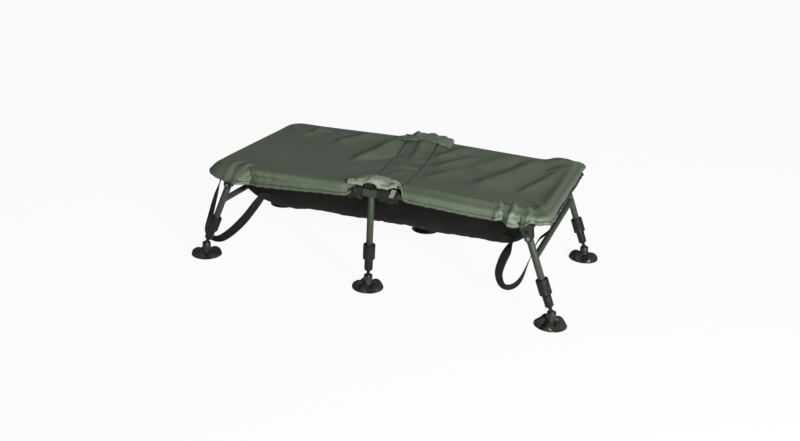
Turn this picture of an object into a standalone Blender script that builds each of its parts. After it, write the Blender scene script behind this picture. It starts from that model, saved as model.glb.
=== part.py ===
"""Folding unhooking cradle: a covered, padded trough on a tube frame with six telescopic legs.

Units are metres, +Z is up and the ground is at Z = 0. +X is the right end and -Y is the front.
The frame is two U-shaped rails that meet at a pair of raised hinges over the centre legs. The
right half folds up and over on to the left half. The legs at each end are one pivoting frame
with a crossbar. Every leg slides in a twist collar and stands on a ball-jointed foot.
"""
import math

import bmesh
import bpy
from mathutils import Matrix, Vector

# Fits and cuts
CLEARANCE = 0.0003          # gap between pieces that touch
RUNNING_GAP = 0.0004        # gap between the telescoping tubes
BORE_GAP = 0.0003           # gap between a pin and its hole
OVERRUN = 0.004             # how far a cutting solid runs past what it cuts
MERGE = 0.000001            # points closer than this are one point

# Frame
RAIL_SPACING = 0.524        # between the long rails, centre to centre
RAIL_REACH = 0.502          # from the fold to the end rail's centre line
RAIL_HEIGHT = 0.300         # rail centre line above the ground
RAIL_BEND = 0.035           # bend radius at the frame's corners, on the centre line
TUBE_RADIUS = 0.010
TUBE_WALL = 0.0012

# Centre hinge
HINGE_RISE = 0.022          # hinge pin above the rail centre line
SADDLE_LENGTH = 0.046
SHEET_METAL = 0.0020        # wall of the saddle and of the leg brackets
SADDLE_LIP = 0.0005         # how far the saddle's cheeks rise past the rail's top
NOTCH_RADIUS = 0.003
SPIGOT_LENGTH = 0.016       # stub under the saddle, inside the centre leg
SPIGOT_WALL = 0.0018
PLUG_LENGTH = 0.026         # hinge plug inside the rail
HEAD_LENGTH = 0.0097        # hinge head beyond the rail's end
KNUCKLE_RADIUS = 0.0085
KNUCKLE_REACH = 0.022       # length of the hinge ear along the rail
SHOULDER_SHARES = (0.5, 0.72)   # ear's shoulder, along its length and up its knuckle
SLOPE_SHARES = (0.86, 0.02)     # foot of the ear's slope, measured the same way
FORK_WIDTH = 0.016          # over the two ears of the left half
TONGUE_WIDTH = 0.0104       # the single ear of the right half
HINGE_PIN_RADIUS = 0.003

# Leg brackets
BRACKET_INSET = 0.0368      # leg pivot in from the end rail's centre line
LEG_SPREAD = 0.0848         # end foot out from its leg's pivot
BRACKET_DROP = 0.053        # leg pivot below the rail centre line
BRACKET_TOP = 0.042         # width of the bracket at the rail
BRACKET_LEAN = 0.015        # how far its top stands inboard of the pivot
BRACKET_NOSE = 0.012        # rounding round the pivot
WINDOW_RADIUS = 0.0055
WINDOW_RISE = 0.0198        # lightening hole from the pivot, along the leg
LEG_PIN_RADIUS = 0.003
RIVET_HEAD_RADIUS = 0.005
RIVET_HEAD = 0.0016
LEG_OVERRUN = 0.010         # end of the leg tube beyond its pivot
CROSSBAR_DROP = 0.0599      # crossbar below the pivot, along the leg
CROSSBAR_RADIUS = 0.009

# Telescopic leg, measured up the leg from the centre of its ball joint
BALL_HEIGHT = 0.037         # ball joint above the ground
BALL_RADIUS = 0.0095
NECK_RADIUS = 0.005
NECK_LENGTH = 0.0165
STEM_TAPER = 0.005
STEM_RADIUS = 0.0125
STEM_LENGTH = 0.033
INNER_TUBE_RADIUS = 0.0084
INNER_TUBE_WALL = 0.0012
INNER_TUBE_HEADROOM = 0.0457  # top of the inner tube below the centre legs' saddle
STEM_SOCKET = 0.010         # how far the inner tube's bore runs above the stem
COLLAR_LENGTH = 0.0465
COLLAR_RADIUS = 0.018
COLLAR_LIP = 0.003
COLLAR_CHAMFER = 0.0022
COLLAR_BAND = 0.009         # height of the plain band at the collar's top
COLLAR_GROOVE = 0.0008
BUSH_RADIUS = 0.012
BUSH_LENGTH = 0.030
BUSH_FLOOR = 0.006
BUSH_SLOT = math.radians(24)
PULLED_OUT = 0.0025         # bright tube that shows under the right hand collars
PUSHED_IN = 0.0006          # the same under the others

# Foot
FOOT_RADIUS = 0.047
FOOT_LOBES = 5
FOOT_RIM = 0.0032
RIM_LOBE_SHARE = 1.9        # rim's height at a lobe against its height at a crease
LOBE_SHARES = ((0.82, 0.74, 0.42), (0.48, 1.0, 0.74))  # way in, lobe's and crease's height
LOBE_HEIGHT = 0.0205        # top of a lobe beside the hub
VALLEY_HEIGHT = 0.0125      # crease between two lobes beside the hub
FOOT_RING = 0.009           # width of the flat ring that stands on the ground
FOOT_RECESS = 0.002
HUB_RADIUS = 0.0132
HUB_TAPER = 0.0010
HUB_TOP = 0.0041            # hub's top edge above the ball's centre
SOCKET_RADIUS = 0.0101
SOCKET_FLOOR = math.radians(-78)  # edge of the socket's flat floor, seen from the ball's centre

# Cover
COVER_THICKNESS = 0.0016
COVER_STRIP = 0.070         # half width of the strip over the fold
COVER_SIDE_GAP = 0.0032     # skirt's inner face from the rail
COVER_LIFT = 0.0005         # slack over the rail beyond the usual gap
COVER_SAG = 0.007
FOLD_HEIGHT = 0.009         # how far the cover's main folds stand up
FOLD_SPREAD = 0.058         # from a fold's crest to its foot
FOLD_FADE = 0.045           # how far in from the rails the folds are full
# Where the crests of the folds run: out along the rail's reach and across the half width
LEFT_FOLD_SHARES = (((0.56, 0.40), (0.47, 0.70), (0.39, 1.0)), ((0.32, -0.30), (0.25, 0.32), (0.23, 1.0)))
RIGHT_FOLD_SHARES = (((0.50, -0.44), (0.62, 0.02), (0.79, 1.0)), ((0.70, -0.60), (0.85, 0.20), (0.94, 1.0)))
HEM_DROP = 0.017            # hem below the rail centre line, along the sides
CORNER_DROP = 0.026         # hem below the rail centre line, at the corners
CORNER_SPREAD = 0.105       # how far from a corner its deeper hem begins
CORNER_FLARE = 0.021        # how far the hem stands out at the left hand corners
FLARE_REACH = 0.145         # how far from the corner it begins to stand out
FLARE_FALL = 0.085          # over what distance it does so
FLARE_SHARES = (0.2, 0.6, 1.0)  # part of the flare at the roll, at the rail's side and at the hem
GATHER_DEPTH = 0.0022       # ruffles of the elastic hem
SIDE_GATHER_SHARE = 0.4     # how much of that is left along the sides
HUMP = 0.0305               # how far the strip rises over the hinges
HUMP_SHARE = 0.5            # how squarely the strip rises
RAIL_ROLL_SHARE = 0.8       # roundness of the cover where it rolls over a rail
HINGE_ROLL_SHARE = 0.4      # the same over a hinge
HUMP_SPREAD = 0.110         # how far in from the rail the rise begins
HINGE_CUTOUT = 0.0255       # half width of the opening round each hinge
CUTOUT_HEM = 0.002          # hem left over the opening
STRIP_DROP = -0.001         # strip's hem below the rail centre line, beside the opening

# Trough under the cover
TROUGH_DEPTH = 0.150
TROUGH_THICKNESS = 0.0015
TROUGH_TUCK = 0.005         # how far the cloth turns in below the rail
TROUGH_TUCK_DROP = 0.012
TROUGH_POWER = 4
HINGE_CLEAR = 0.0042        # how far the cloth stands in at the hinge saddles
HINGE_CLEAR_REACH = 0.055
PAD_THICKNESS = 0.025
PAD_START = 0.030           # pad's edge from the fold

# Carry straps
STRAP_WIDTH = 0.028
STRAP_THICKNESS = 0.0018
STRAP_ROW = 5               # row of the trough that the strap's end is sewn to
STRAP_TURN_SHARE = 0.68     # where the webbing begins to turn on to the trough
# How far out (against the rail's reach) and how high (against the rail's height) the loops hang
LEFT_LOOP_SHARES = ((1.045, 0.76), (1.088, 0.58), (1.128, 0.36), (1.150, 0.19), (1.128, 0.125),
                    (1.060, 0.125), (0.975, 0.23), (0.880, 0.40), (0.795, 0.60))
RIGHT_LOOP_SHARES = ((1.006, 0.85), (0.962, 0.745), (0.928, 0.58), (0.885, 0.33), (0.838, 0.235),
                     (0.785, 0.24), (0.752, 0.37), (0.735, 0.52), (0.715, 0.63))
LEFT_SEAT_SHARES = (0.765, 0.735, 0.705)
RIGHT_SEAT_SHARES = (0.725, 0.755, 0.785)

# Steps of the curved surfaces
TURN = 2.0 * math.pi
TUBE_STEPS = 16
PIN_STEPS = 10
KNUCKLE_STEPS = 7
NOSE_STEPS = 6
BALL_STEPS = 5
SOCKET_STEPS = 4
RAIL_STEPS = 4              # extra points in each quarter of the rail's section
SHARP_ANGLE = math.radians(40)
COLLAR_STEPS = 16
BUSH_STEPS = 15
LOBE_STEPS = 4              # points round one lobe of the foot
BEND_STEPS = 5
NEAR_STEPS = 4
FAR_STEPS = 5
CORNER_STEPS = 3
END_STEPS = 4
COVER_ROWS = 7
TROUGH_ROWS = 7
PAD_ROWS = 4
STRAP_STEPS = 30

# Sizes that follow from the ones above
HALF_WIDTH = RAIL_SPACING / 2.0
BRACKET_REACH = RAIL_REACH - BRACKET_INSET
HALF_LENGTH = BRACKET_REACH + LEG_SPREAD
RAIL_TOP = RAIL_HEIGHT + TUBE_RADIUS
RAIL_BOTTOM = RAIL_HEIGHT - TUBE_RADIUS
HINGE_HEIGHT = RAIL_HEIGHT + HINGE_RISE
TUBE_BORE = TUBE_RADIUS - TUBE_WALL
CHEEK_INSIDE = TUBE_RADIUS + CLEARANCE
CHEEK_OUTSIDE = CHEEK_INSIDE + SHEET_METAL
SADDLE_FLOOR = RAIL_BOTTOM - CLEARANCE - SHEET_METAL
PIVOT_HEIGHT = RAIL_HEIGHT - BRACKET_DROP
SPLAY = math.atan2(LEG_SPREAD, PIVOT_HEIGHT - BALL_HEIGHT)
PIVOT_RISE = math.hypot(LEG_SPREAD, PIVOT_HEIGHT - BALL_HEIGHT)
CROSSBAR_RISE = PIVOT_RISE - CROSSBAR_DROP
INNER_TUBE_REACH = SADDLE_FLOOR - BALL_HEIGHT - INNER_TUBE_HEADROOM
STEM_BOTTOM = NECK_LENGTH + STEM_TAPER
STEM_TOP = STEM_BOTTOM + STEM_LENGTH
COVER_INSIDE = RAIL_TOP + CLEARANCE + COVER_LIFT
SPINE = RAIL_REACH - HALF_WIDTH
TROUGH_REACH = RAIL_REACH - TUBE_RADIUS - CLEARANCE
TROUGH_SIDE = HALF_WIDTH - TUBE_RADIUS - CLEARANCE
TROUGH_CORNER = RAIL_BEND - TUBE_RADIUS - CLEARANCE

FRONT, BACK = -1, 1
LEFT, RIGHT = -1, 1
SIDE_NAMES = {FRONT: "front", BACK: "back"}
END_NAMES = {LEFT: "left", 0: "centre", RIGHT: "right"}


def finish(name, colour, roughness, metallic=0.0):
    """Make one surface finish."""
    material = bpy.data.materials.new(name)
    material.use_nodes = True
    shader = material.node_tree.nodes["Principled BSDF"]
    shader.inputs["Base Color"].default_value = (*colour, 1.0)
    shader.inputs["Roughness"].default_value = roughness
    shader.inputs["Metallic"].default_value = metallic
    material.diffuse_color = (*colour, 1.0)
    return material


def axis_empty(name, place, turn=0.0):
    """Add an empty on a joint's axis, turned about Y to lie along a leg."""
    empty = bpy.data.objects.new(name, None)
    bpy.context.collection.objects.link(empty)
    empty.location = place
    empty.rotation_euler = (0.0, turn, 0.0)
    bpy.context.view_layer.update()
    return empty


def add_piece(name, bm, material, parent=None, place=(0.0, 0.0, 0.0), smooth=True):
    """Turn a mesh into a named piece, in its parent's axes."""
    mesh = bpy.data.meshes.new(name)
    bm.to_mesh(mesh)
    bm.free()
    if smooth:
        mesh.shade_smooth()
        mesh.set_sharp_from_angle(angle=SHARP_ANGLE)
    mesh.materials.append(material)
    piece = bpy.data.objects.new(name, mesh)
    bpy.context.collection.objects.link(piece)
    piece.parent = parent
    piece.location = place
    return piece


def combine(target, tool, operation):
    """Join a piece to a tool, or cut it with one, by an exact Boolean; the tool is used up."""
    modifier = target.modifiers.new("combine", "BOOLEAN")
    modifier.operation = operation
    modifier.solver = "EXACT"
    modifier.object = tool
    bpy.context.view_layer.update()
    graph = bpy.context.evaluated_depsgraph_get()
    shaped = bpy.data.meshes.new_from_object(target.evaluated_get(graph))
    target.modifiers.clear()
    target.data = shaped
    bpy.data.objects.remove(tool)


def tool_piece(bm, parent=None, place=(0.0, 0.0, 0.0), turn=(0.0, 0.0, 0.0)):
    """Add a passing solid that cuts or joins a piece."""
    mesh = bpy.data.meshes.new("tool")
    bm.to_mesh(mesh)
    bm.free()
    tool = bpy.data.objects.new("tool", mesh)
    bpy.context.collection.objects.link(tool)
    tool.parent = parent
    tool.location = place
    tool.rotation_euler = turn
    tool.hide_render = True
    tool.display_type = "WIRE"
    return tool


def lathe(profile, steps, ring=False, arc=TURN):
    """Turn (radius, height) points about Z; a ring's profile is a closed loop."""
    bm = bmesh.new()
    points = [bm.verts.new((radius, 0.0, height)) for radius, height in profile]
    whole = arc > TURN - MERGE
    if whole:
        pairs = list(zip(points, points[1:]))
        if ring:
            pairs.append((points[-1], points[0]))
        start = points + [bm.edges.new(pair) for pair in pairs]
    else:
        start = [bm.faces.new(points)]
    bmesh.ops.spin(bm, geom=start, axis=(0.0, 0.0, 1.0), angle=arc, steps=steps, use_merge=whole)
    bmesh.ops.remove_doubles(bm, verts=bm.verts, dist=MERGE)
    bmesh.ops.recalc_face_normals(bm, faces=bm.faces)
    return bm


def turned_to_y(bm):
    """Lay a lathed mesh along Y."""
    bmesh.ops.rotate(bm, verts=bm.verts, matrix=Matrix.Rotation(TURN / 4.0, 3, "X"))
    return bm


def turned_to_x(bm):
    """Lay a lathed mesh along X."""
    bmesh.ops.rotate(bm, verts=bm.verts, matrix=Matrix.Rotation(TURN / 4.0, 3, "Y"))
    return bm


def rod(radius, half_length, steps):
    """A plain cylinder along Z, centred."""
    profile = [(0.0, -half_length), (radius, -half_length), (radius, half_length), (0.0, half_length)]
    return lathe(profile, steps)


def slab(outline, front, back):
    """Extrude an (x, z) outline along Y."""
    bm = bmesh.new()
    face = bm.faces.new([bm.verts.new((x, front, z)) for x, z in outline])
    grown = bmesh.ops.extrude_face_region(bm, geom=[face])["geom"]
    moved = [item for item in grown if isinstance(item, bmesh.types.BMVert)]
    bmesh.ops.translate(bm, verts=moved, vec=(0.0, back - front, 0.0))
    bmesh.ops.recalc_face_normals(bm, faces=bm.faces)
    return bm


def arc_points(centre, radius, start, stop, steps):
    """Points on an arc in the (x, z) plane."""
    angles = [start + (stop - start) * k / steps for k in range(steps + 1)]
    return [(centre[0] + radius * math.cos(a), centre[1] + radius * math.sin(a)) for a in angles]


def rivet(radius, half_grip):
    """A headed pin along Y whose heads clear the grip by the usual gap."""
    inner = half_grip + CLEARANCE
    outer = inner + RIVET_HEAD
    head = RIVET_HEAD_RADIUS
    profile = [(0.0, -outer), (head, -outer), (head, -inner), (radius, -inner)]
    profile += [(radius, inner), (head, inner), (head, outer), (0.0, outer)]
    return turned_to_y(lathe(profile, PIN_STEPS))


def loft(loops):
    """Skin closed loops of equal count, with a face on each end."""
    bm = bmesh.new()
    rows = [[bm.verts.new(point) for point in loop] for loop in loops]
    count = len(rows[0])
    for low, high in zip(rows, rows[1:]):
        for k in range(count):
            bm.faces.new((low[k], low[(k + 1) % count], high[(k + 1) % count], high[k]))
    bm.faces.new(rows[0][::-1])
    bm.faces.new(rows[-1])
    bmesh.ops.recalc_face_normals(bm, faces=bm.faces)
    return bm


# Frame rails


def make_rail(end, material, parent):
    """One U-bent rail: out along the front, across the end and home along the back."""
    start = CLEARANCE * 2.0 + HEAD_LENGTH
    points = [(start, -HALF_WIDTH)]
    for side in (FRONT, BACK):
        centre = (RAIL_REACH - RAIL_BEND, side * (HALF_WIDTH - RAIL_BEND))
        first = -TURN / 4.0 if side == FRONT else 0.0
        points += arc_points(centre, RAIL_BEND, first, first + TURN / 4.0, BEND_STEPS)
    points.append((start, HALF_WIDTH))
    curve = bpy.data.curves.new("rail_" + END_NAMES[end], "CURVE")
    curve.dimensions = "3D"
    curve.bevel_depth = TUBE_RADIUS
    curve.bevel_resolution = RAIL_STEPS
    spline = curve.splines.new("POLY")
    spline.points.add(len(points) - 1)
    for point, (x, y) in zip(spline.points, points):
        point.co = (end * x, y, 0.0, 1.0)
    curve.materials.append(material)
    rail = bpy.data.objects.new("rail_" + END_NAMES[end], curve)
    bpy.context.collection.objects.link(rail)
    rail.parent = parent
    rail.location = (0.0, 0.0, RAIL_HEIGHT - (parent.location.z if parent else 0.0))
    wall = rail.modifiers.new("wall", "SOLIDIFY")
    wall.thickness = TUBE_WALL
    wall.offset = -1.0
    return rail


# Centre hinge


def make_saddle(side, material):
    """Sheet-metal saddle that both rails lie in, with the centre leg's spigot below."""
    half = SADDLE_LENGTH / 2.0
    lip = RAIL_TOP + SADDLE_LIP
    floor = SADDLE_FLOOR + SHEET_METAL
    outline = [(-CHEEK_OUTSIDE, lip), (-CHEEK_OUTSIDE, SADDLE_FLOOR), (CHEEK_OUTSIDE, SADDLE_FLOOR)]
    outline += [(CHEEK_OUTSIDE, lip), (CHEEK_INSIDE, lip), (CHEEK_INSIDE, floor)]
    outline += [(-CHEEK_INSIDE, floor), (-CHEEK_INSIDE, lip)]
    channel = slab(outline, -half, half)
    bmesh.ops.rotate(channel, verts=channel.verts, matrix=Matrix.Rotation(TURN / 4.0, 3, "Z"))
    place = (0.0, side * HALF_WIDTH, 0.0)
    saddle = add_piece("hinge_saddle_" + SIDE_NAMES[side], channel, material, place=place)
    radius = TUBE_BORE - CLEARANCE
    low = SADDLE_FLOOR - SPIGOT_LENGTH
    high = SADDLE_FLOOR + SHEET_METAL / 2.0
    profile = [(radius, low), (radius, high), (0.0, high), (0.0, SADDLE_FLOOR)]
    profile += [(radius - SPIGOT_WALL, SADDLE_FLOOR), (radius - SPIGOT_WALL, low)]
    spigot = lathe(profile + [(radius, low)], TUBE_STEPS)
    combine(saddle, tool_piece(spigot, place=place), "UNION")
    notch = turned_to_y(rod(NOTCH_RADIUS, CHEEK_OUTSIDE + OVERRUN, PIN_STEPS))
    combine(saddle, tool_piece(notch, place=(0.0, side * HALF_WIDTH, lip)), "DIFFERENCE")
    return saddle


def ear_outline(end):
    """The hinge ear from its head up to its knuckle, about the rail's axis at the fold."""
    inner = CLEARANCE
    top = TUBE_RADIUS + CLEARANCE
    root = TUBE_RADIUS / 2.0
    centre = (0.0, HINGE_RISE)
    knuckle = arc_points(centre, KNUCKLE_RADIUS, -TURN / 4.0, -TURN * 3.0 / 4.0, KNUCKLE_STEPS)
    bends = [(KNUCKLE_REACH * along, HINGE_RISE + KNUCKLE_RADIUS * up)
             for along, up in (SHOULDER_SHARES, SLOPE_SHARES)]
    head = inner + HEAD_LENGTH
    outline = [(inner, root), (inner, HINGE_RISE - KNUCKLE_RADIUS), *knuckle[1:], *bends]
    outline += [(KNUCKLE_REACH, top), (head - CLEARANCE, top), (head - CLEARANCE, root)]
    return [(end * x, z) for x, z in outline]


def make_leaf(side, end, material, parent):
    """Hinge leaf: a plug in the rail, a head at the fold and a forked or single ear."""
    inner = CLEARANCE
    outer = inner + HEAD_LENGTH
    tip = outer + PLUG_LENGTH
    plug = TUBE_BORE - CLEARANCE
    profile = [(0.0, inner), (TUBE_RADIUS, inner), (TUBE_RADIUS, outer), (plug, outer)]
    profile += [(plug, tip - TUBE_WALL), (plug - TUBE_WALL, tip), (0.0, tip)]
    body = turned_to_x(lathe(profile, TUBE_STEPS))
    if end == LEFT:
        bmesh.ops.rotate(body, verts=body.verts, matrix=Matrix.Rotation(TURN / 2.0, 3, "Z"))
    name = "hinge_leaf_" + END_NAMES[end] + "_" + SIDE_NAMES[side]
    drop = RAIL_HEIGHT - (parent.location.z if parent else 0.0)
    place = (0.0, side * HALF_WIDTH, drop)
    leaf = add_piece(name, body, material, parent, place)
    gap = TONGUE_WIDTH / 2.0 + CLEARANCE
    spans = [(-FORK_WIDTH / 2.0, -gap), (gap, FORK_WIDTH / 2.0)] if end == LEFT else [
        (-TONGUE_WIDTH / 2.0, TONGUE_WIDTH / 2.0)]
    for front, back in spans:
        combine(leaf, tool_piece(slab(ear_outline(end), front, back), parent, place), "UNION")
    bore = turned_to_y(rod(HINGE_PIN_RADIUS + BORE_GAP, FORK_WIDTH / 2.0 + OVERRUN, PIN_STEPS))
    combine(leaf, tool_piece(bore, parent, (0.0, place[1], drop + HINGE_RISE)), "DIFFERENCE")
    return leaf


# Leg brackets and leg frames


def make_bracket(side, end, material, parent):
    """U-shaped bracket under the rail whose two cheeks carry the leg's pivot."""
    top = BRACKET_DROP - TUBE_RADIUS - CLEARANCE
    web = top - SHEET_METAL
    near = end * (-BRACKET_LEAN - BRACKET_TOP / 2.0)
    far = end * (-BRACKET_LEAN + BRACKET_TOP / 2.0)
    nose = arc_points((0.0, 0.0), BRACKET_NOSE, 0.0, -TURN / 2.0, NOSE_STEPS)
    outline = [(near, top), (far, top), (far, web)] + [(end * x, z) for x, z in nose] + [(near, web)]
    width = CHEEK_OUTSIDE
    drop = PIVOT_HEIGHT - (parent.location.z if parent else 0.0)
    place = (end * BRACKET_REACH, side * HALF_WIDTH, drop)
    name = "leg_bracket_" + SIDE_NAMES[side] + "_" + END_NAMES[end]
    bracket = add_piece(name, slab(outline, -width, width), material, parent, place)
    span = BRACKET_TOP + OVERRUN * 2.0
    middle = -end * BRACKET_LEAN
    low = -BRACKET_NOSE - OVERRUN
    channel = [(middle - span, low), (middle + span, low), (middle + span, web), (middle - span, web)]
    combine(bracket, tool_piece(slab(channel, -CHEEK_INSIDE, CHEEK_INSIDE), parent, place), "DIFFERENCE")
    bore = turned_to_y(rod(LEG_PIN_RADIUS + BORE_GAP, width + OVERRUN, PIN_STEPS))
    combine(bracket, tool_piece(bore, parent, place), "DIFFERENCE")
    window = turned_to_y(rod(WINDOW_RADIUS, width + OVERRUN, PIN_STEPS))
    across = -end * WINDOW_RISE * math.sin(SPLAY)
    up = WINDOW_RISE * math.cos(SPLAY)
    at = (place[0] + across, place[1], place[2] + up)
    combine(bracket, tool_piece(window, parent, at), "DIFFERENCE")
    return bracket


def make_upper_tube(name, low, high, bore_at, material, leg):
    """Outer tube of a leg, drilled for its pivot where it has one."""
    profile = [(TUBE_BORE, low), (TUBE_RADIUS, low), (TUBE_RADIUS, high), (TUBE_BORE, high)]
    tube = add_piece(name, lathe(profile, TUBE_STEPS, ring=True), material, leg)
    if bore_at is not None:
        bore = turned_to_y(rod(LEG_PIN_RADIUS + BORE_GAP, TUBE_RADIUS + OVERRUN, PIN_STEPS))
        combine(tube, tool_piece(bore, leg, (0.0, 0.0, bore_at)), "DIFFERENCE")
    return tube


def make_collar(name, low, material, leg):
    """Twist collar: a chamfered sleeve with a lip at each end and a groove under its top band."""
    high = low + COLLAR_LENGTH
    band = high - COLLAR_BAND
    radius = COLLAR_RADIUS
    cavity = BUSH_RADIUS + RUNNING_GAP
    small = INNER_TUBE_RADIUS + RUNNING_GAP
    large = TUBE_RADIUS + CLEARANCE
    profile = [(small, low), (radius - COLLAR_CHAMFER, low), (radius, low + COLLAR_CHAMFER)]
    profile += [(radius, band - COLLAR_GROOVE), (radius - COLLAR_GROOVE, band)]
    profile += [(radius, band + COLLAR_GROOVE), (radius, high - COLLAR_CHAMFER)]
    profile += [(radius - COLLAR_CHAMFER, high), (large, high)]
    profile += [(large, high - COLLAR_LIP), (cavity, high - COLLAR_LIP)]
    profile += [(cavity, low + COLLAR_LIP), (small, low + COLLAR_LIP)]
    return add_piece(name, lathe(profile, COLLAR_STEPS, ring=True), material, leg)


def make_bush(name, low, material, leg):
    """Split clamping bush that the collar closes on the inner tube."""
    bore = INNER_TUBE_RADIUS + RUNNING_GAP
    seat = TUBE_RADIUS + CLEARANCE
    high = low + BUSH_LENGTH
    profile = [(bore, low), (BUSH_RADIUS, low), (BUSH_RADIUS, high), (seat, high)]
    profile += [(seat, low + BUSH_FLOOR), (bore, low + BUSH_FLOOR)]
    bush = lathe(profile, BUSH_STEPS, arc=TURN - BUSH_SLOT)
    return add_piece(name, bush, material, leg)


def make_lower_leg(name, material, leg):
    """Inner tube with its moulded stem, neck and ball."""
    throat = math.acos(NECK_RADIUS / BALL_RADIUS)
    ball = arc_points((0.0, 0.0), BALL_RADIUS, -TURN / 4.0, throat, BALL_STEPS)
    profile = [(max(x, 0.0), z) for x, z in ball]
    bore = INNER_TUBE_RADIUS - INNER_TUBE_WALL
    profile += [(NECK_RADIUS, NECK_LENGTH), (STEM_RADIUS, STEM_BOTTOM), (STEM_RADIUS, STEM_TOP)]
    profile += [(INNER_TUBE_RADIUS, STEM_TOP), (INNER_TUBE_RADIUS, INNER_TUBE_REACH)]
    profile += [(bore, INNER_TUBE_REACH), (bore, STEM_TOP + STEM_SOCKET), (0.0, STEM_TOP + STEM_SOCKET)]
    profile[0] = (0.0, profile[0][1])
    return add_piece(name, lathe(profile, TUBE_STEPS), material, leg)


def make_foot(name, side, material, ball):
    """Lobed foot with a flat ring below and a ball socket in its hub."""
    count = FOOT_LOBES * LOBE_STEPS
    angles = [side * TURN / 4.0 + TURN * k / count for k in range(count)]
    ground = -BALL_HEIGHT

    def ring(radius, lobe, valley):
        loop = []
        for k, angle in enumerate(angles):
            crest = abs(math.cos(TURN / 2.0 * k / LOBE_STEPS))
            height = ground + valley + (lobe - valley) * crest
            loop.append((radius * math.cos(angle), radius * math.sin(angle), height))
        return loop

    hub_foot = HUB_RADIUS + HUB_TAPER
    spread = FOOT_RADIUS - hub_foot
    inner = FOOT_RADIUS - FOOT_RING
    loops = [ring(inner - FOOT_RECESS, FOOT_RECESS, FOOT_RECESS), ring(inner, 0.0, 0.0)]
    loops += [ring(FOOT_RADIUS, 0.0, 0.0), ring(FOOT_RADIUS, FOOT_RIM * RIM_LOBE_SHARE, FOOT_RIM)]
    for share, lobe_share, crease_share in LOBE_SHARES:
        reach = hub_foot + spread * share
        loops.append(ring(reach, LOBE_HEIGHT * lobe_share, VALLEY_HEIGHT * crease_share))
    loops.append(ring(hub_foot, LOBE_HEIGHT, VALLEY_HEIGHT))
    loops.append(ring(HUB_RADIUS - HUB_TAPER, BALL_HEIGHT + HUB_TOP, BALL_HEIGHT + HUB_TOP))
    mouth = math.asin(HUB_TOP / SOCKET_RADIUS)
    for k in range(SOCKET_STEPS + 1):
        polar = mouth + (SOCKET_FLOOR - mouth) * k / SOCKET_STEPS
        level = BALL_HEIGHT + SOCKET_RADIUS * math.sin(polar)
        loops.append(ring(SOCKET_RADIUS * math.cos(polar), level, level))
    return add_piece(name, loft(loops), material, ball)


def make_crossbar(end, material, parent, bodies):
    """Tube between the two legs of one end, coped to fit against them."""
    across = end * (HALF_LENGTH - CROSSBAR_RISE * math.sin(SPLAY))
    up = BALL_HEIGHT + CROSSBAR_RISE * math.cos(SPLAY)
    place = (across - parent.location.x, 0.0, up - parent.location.z)
    bore = CROSSBAR_RADIUS - TUBE_WALL
    profile = [(bore, -HALF_WIDTH), (CROSSBAR_RADIUS, -HALF_WIDTH)]
    profile += [(CROSSBAR_RADIUS, HALF_WIDTH), (bore, HALF_WIDTH)]
    tube = turned_to_y(lathe(profile, TUBE_STEPS, ring=True))
    bar = add_piece("leg_crossbar_" + END_NAMES[end], tube, material, parent, place)
    for side in (FRONT, BACK):
        leg = bodies[side, end]
        cope = rod(TUBE_RADIUS + CLEARANCE, CROSSBAR_RADIUS + OVERRUN, TUBE_STEPS)
        combine(bar, tool_piece(cope, leg, (0.0, 0.0, CROSSBAR_RISE)), "DIFFERENCE")
    return bar


def make_leg(side, end, finishes, parent):
    """One complete leg, built up its own axis from the ball joint."""
    turn = -end * SPLAY
    home = parent.location if parent else Vector((0.0, 0.0, 0.0))
    place = Vector((end * HALF_LENGTH, side * HALF_WIDTH, BALL_HEIGHT)) - home
    label = SIDE_NAMES[side] + "_" + END_NAMES[end]
    leg = axis_empty("leg_axis_" + label, place, turn)
    leg.parent = parent
    ball = axis_empty("ball_centre_" + label, place)
    ball.parent = parent
    bpy.context.view_layer.update()
    shown = PULLED_OUT if end == RIGHT else PUSHED_IN
    collar_low = STEM_TOP + shown
    bush_low = collar_low + COLLAR_LIP + CLEARANCE
    tube_low = bush_low + BUSH_FLOOR + CLEARANCE
    if end:
        tube_high = PIVOT_RISE + LEG_OVERRUN
        bore_at = PIVOT_RISE
    else:
        tube_high = SADDLE_FLOOR - CLEARANCE - BALL_HEIGHT
        bore_at = None
    make_upper_tube("upper_leg_" + label, tube_low, tube_high, bore_at, finishes["tube"], leg)
    make_collar("twist_collar_" + label, collar_low, finishes["black"], leg)
    make_bush("clamp_bush_" + label, bush_low, finishes["nylon"], leg)
    make_lower_leg("lower_leg_" + label, finishes["bright"], leg)
    make_foot("mud_foot_" + label, side, finishes["black"], ball)
    return leg


# Cover, trough, pads and straps


def half_rim(start, side, reach, corner):
    """Plan path round one half with its outward normals, from the front to the back of the fold."""
    spine = reach - side
    bend = reach - corner
    along = [start + (spine - start) * k / NEAR_STEPS for k in range(NEAR_STEPS)]
    along += [spine + (bend - spine) * k / FAR_STEPS for k in range(FAR_STEPS + 1)]
    path = [(x, -side, 0.0, -1.0) for x in along]
    for k in range(1, CORNER_STEPS + 1):
        angle = TURN / 4.0 * (k / CORNER_STEPS - 1.0)
        nx, ny = math.cos(angle), math.sin(angle)
        path.append((bend + corner * nx, corner - side + corner * ny, nx, ny))
    path += [(reach, (corner - side) * (1.0 - k / END_STEPS), 1.0, 0.0) for k in range(1, END_STEPS + 1)]
    return path + [(x, -y, nx, -ny) for x, y, nx, ny in path[-2::-1]]


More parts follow.
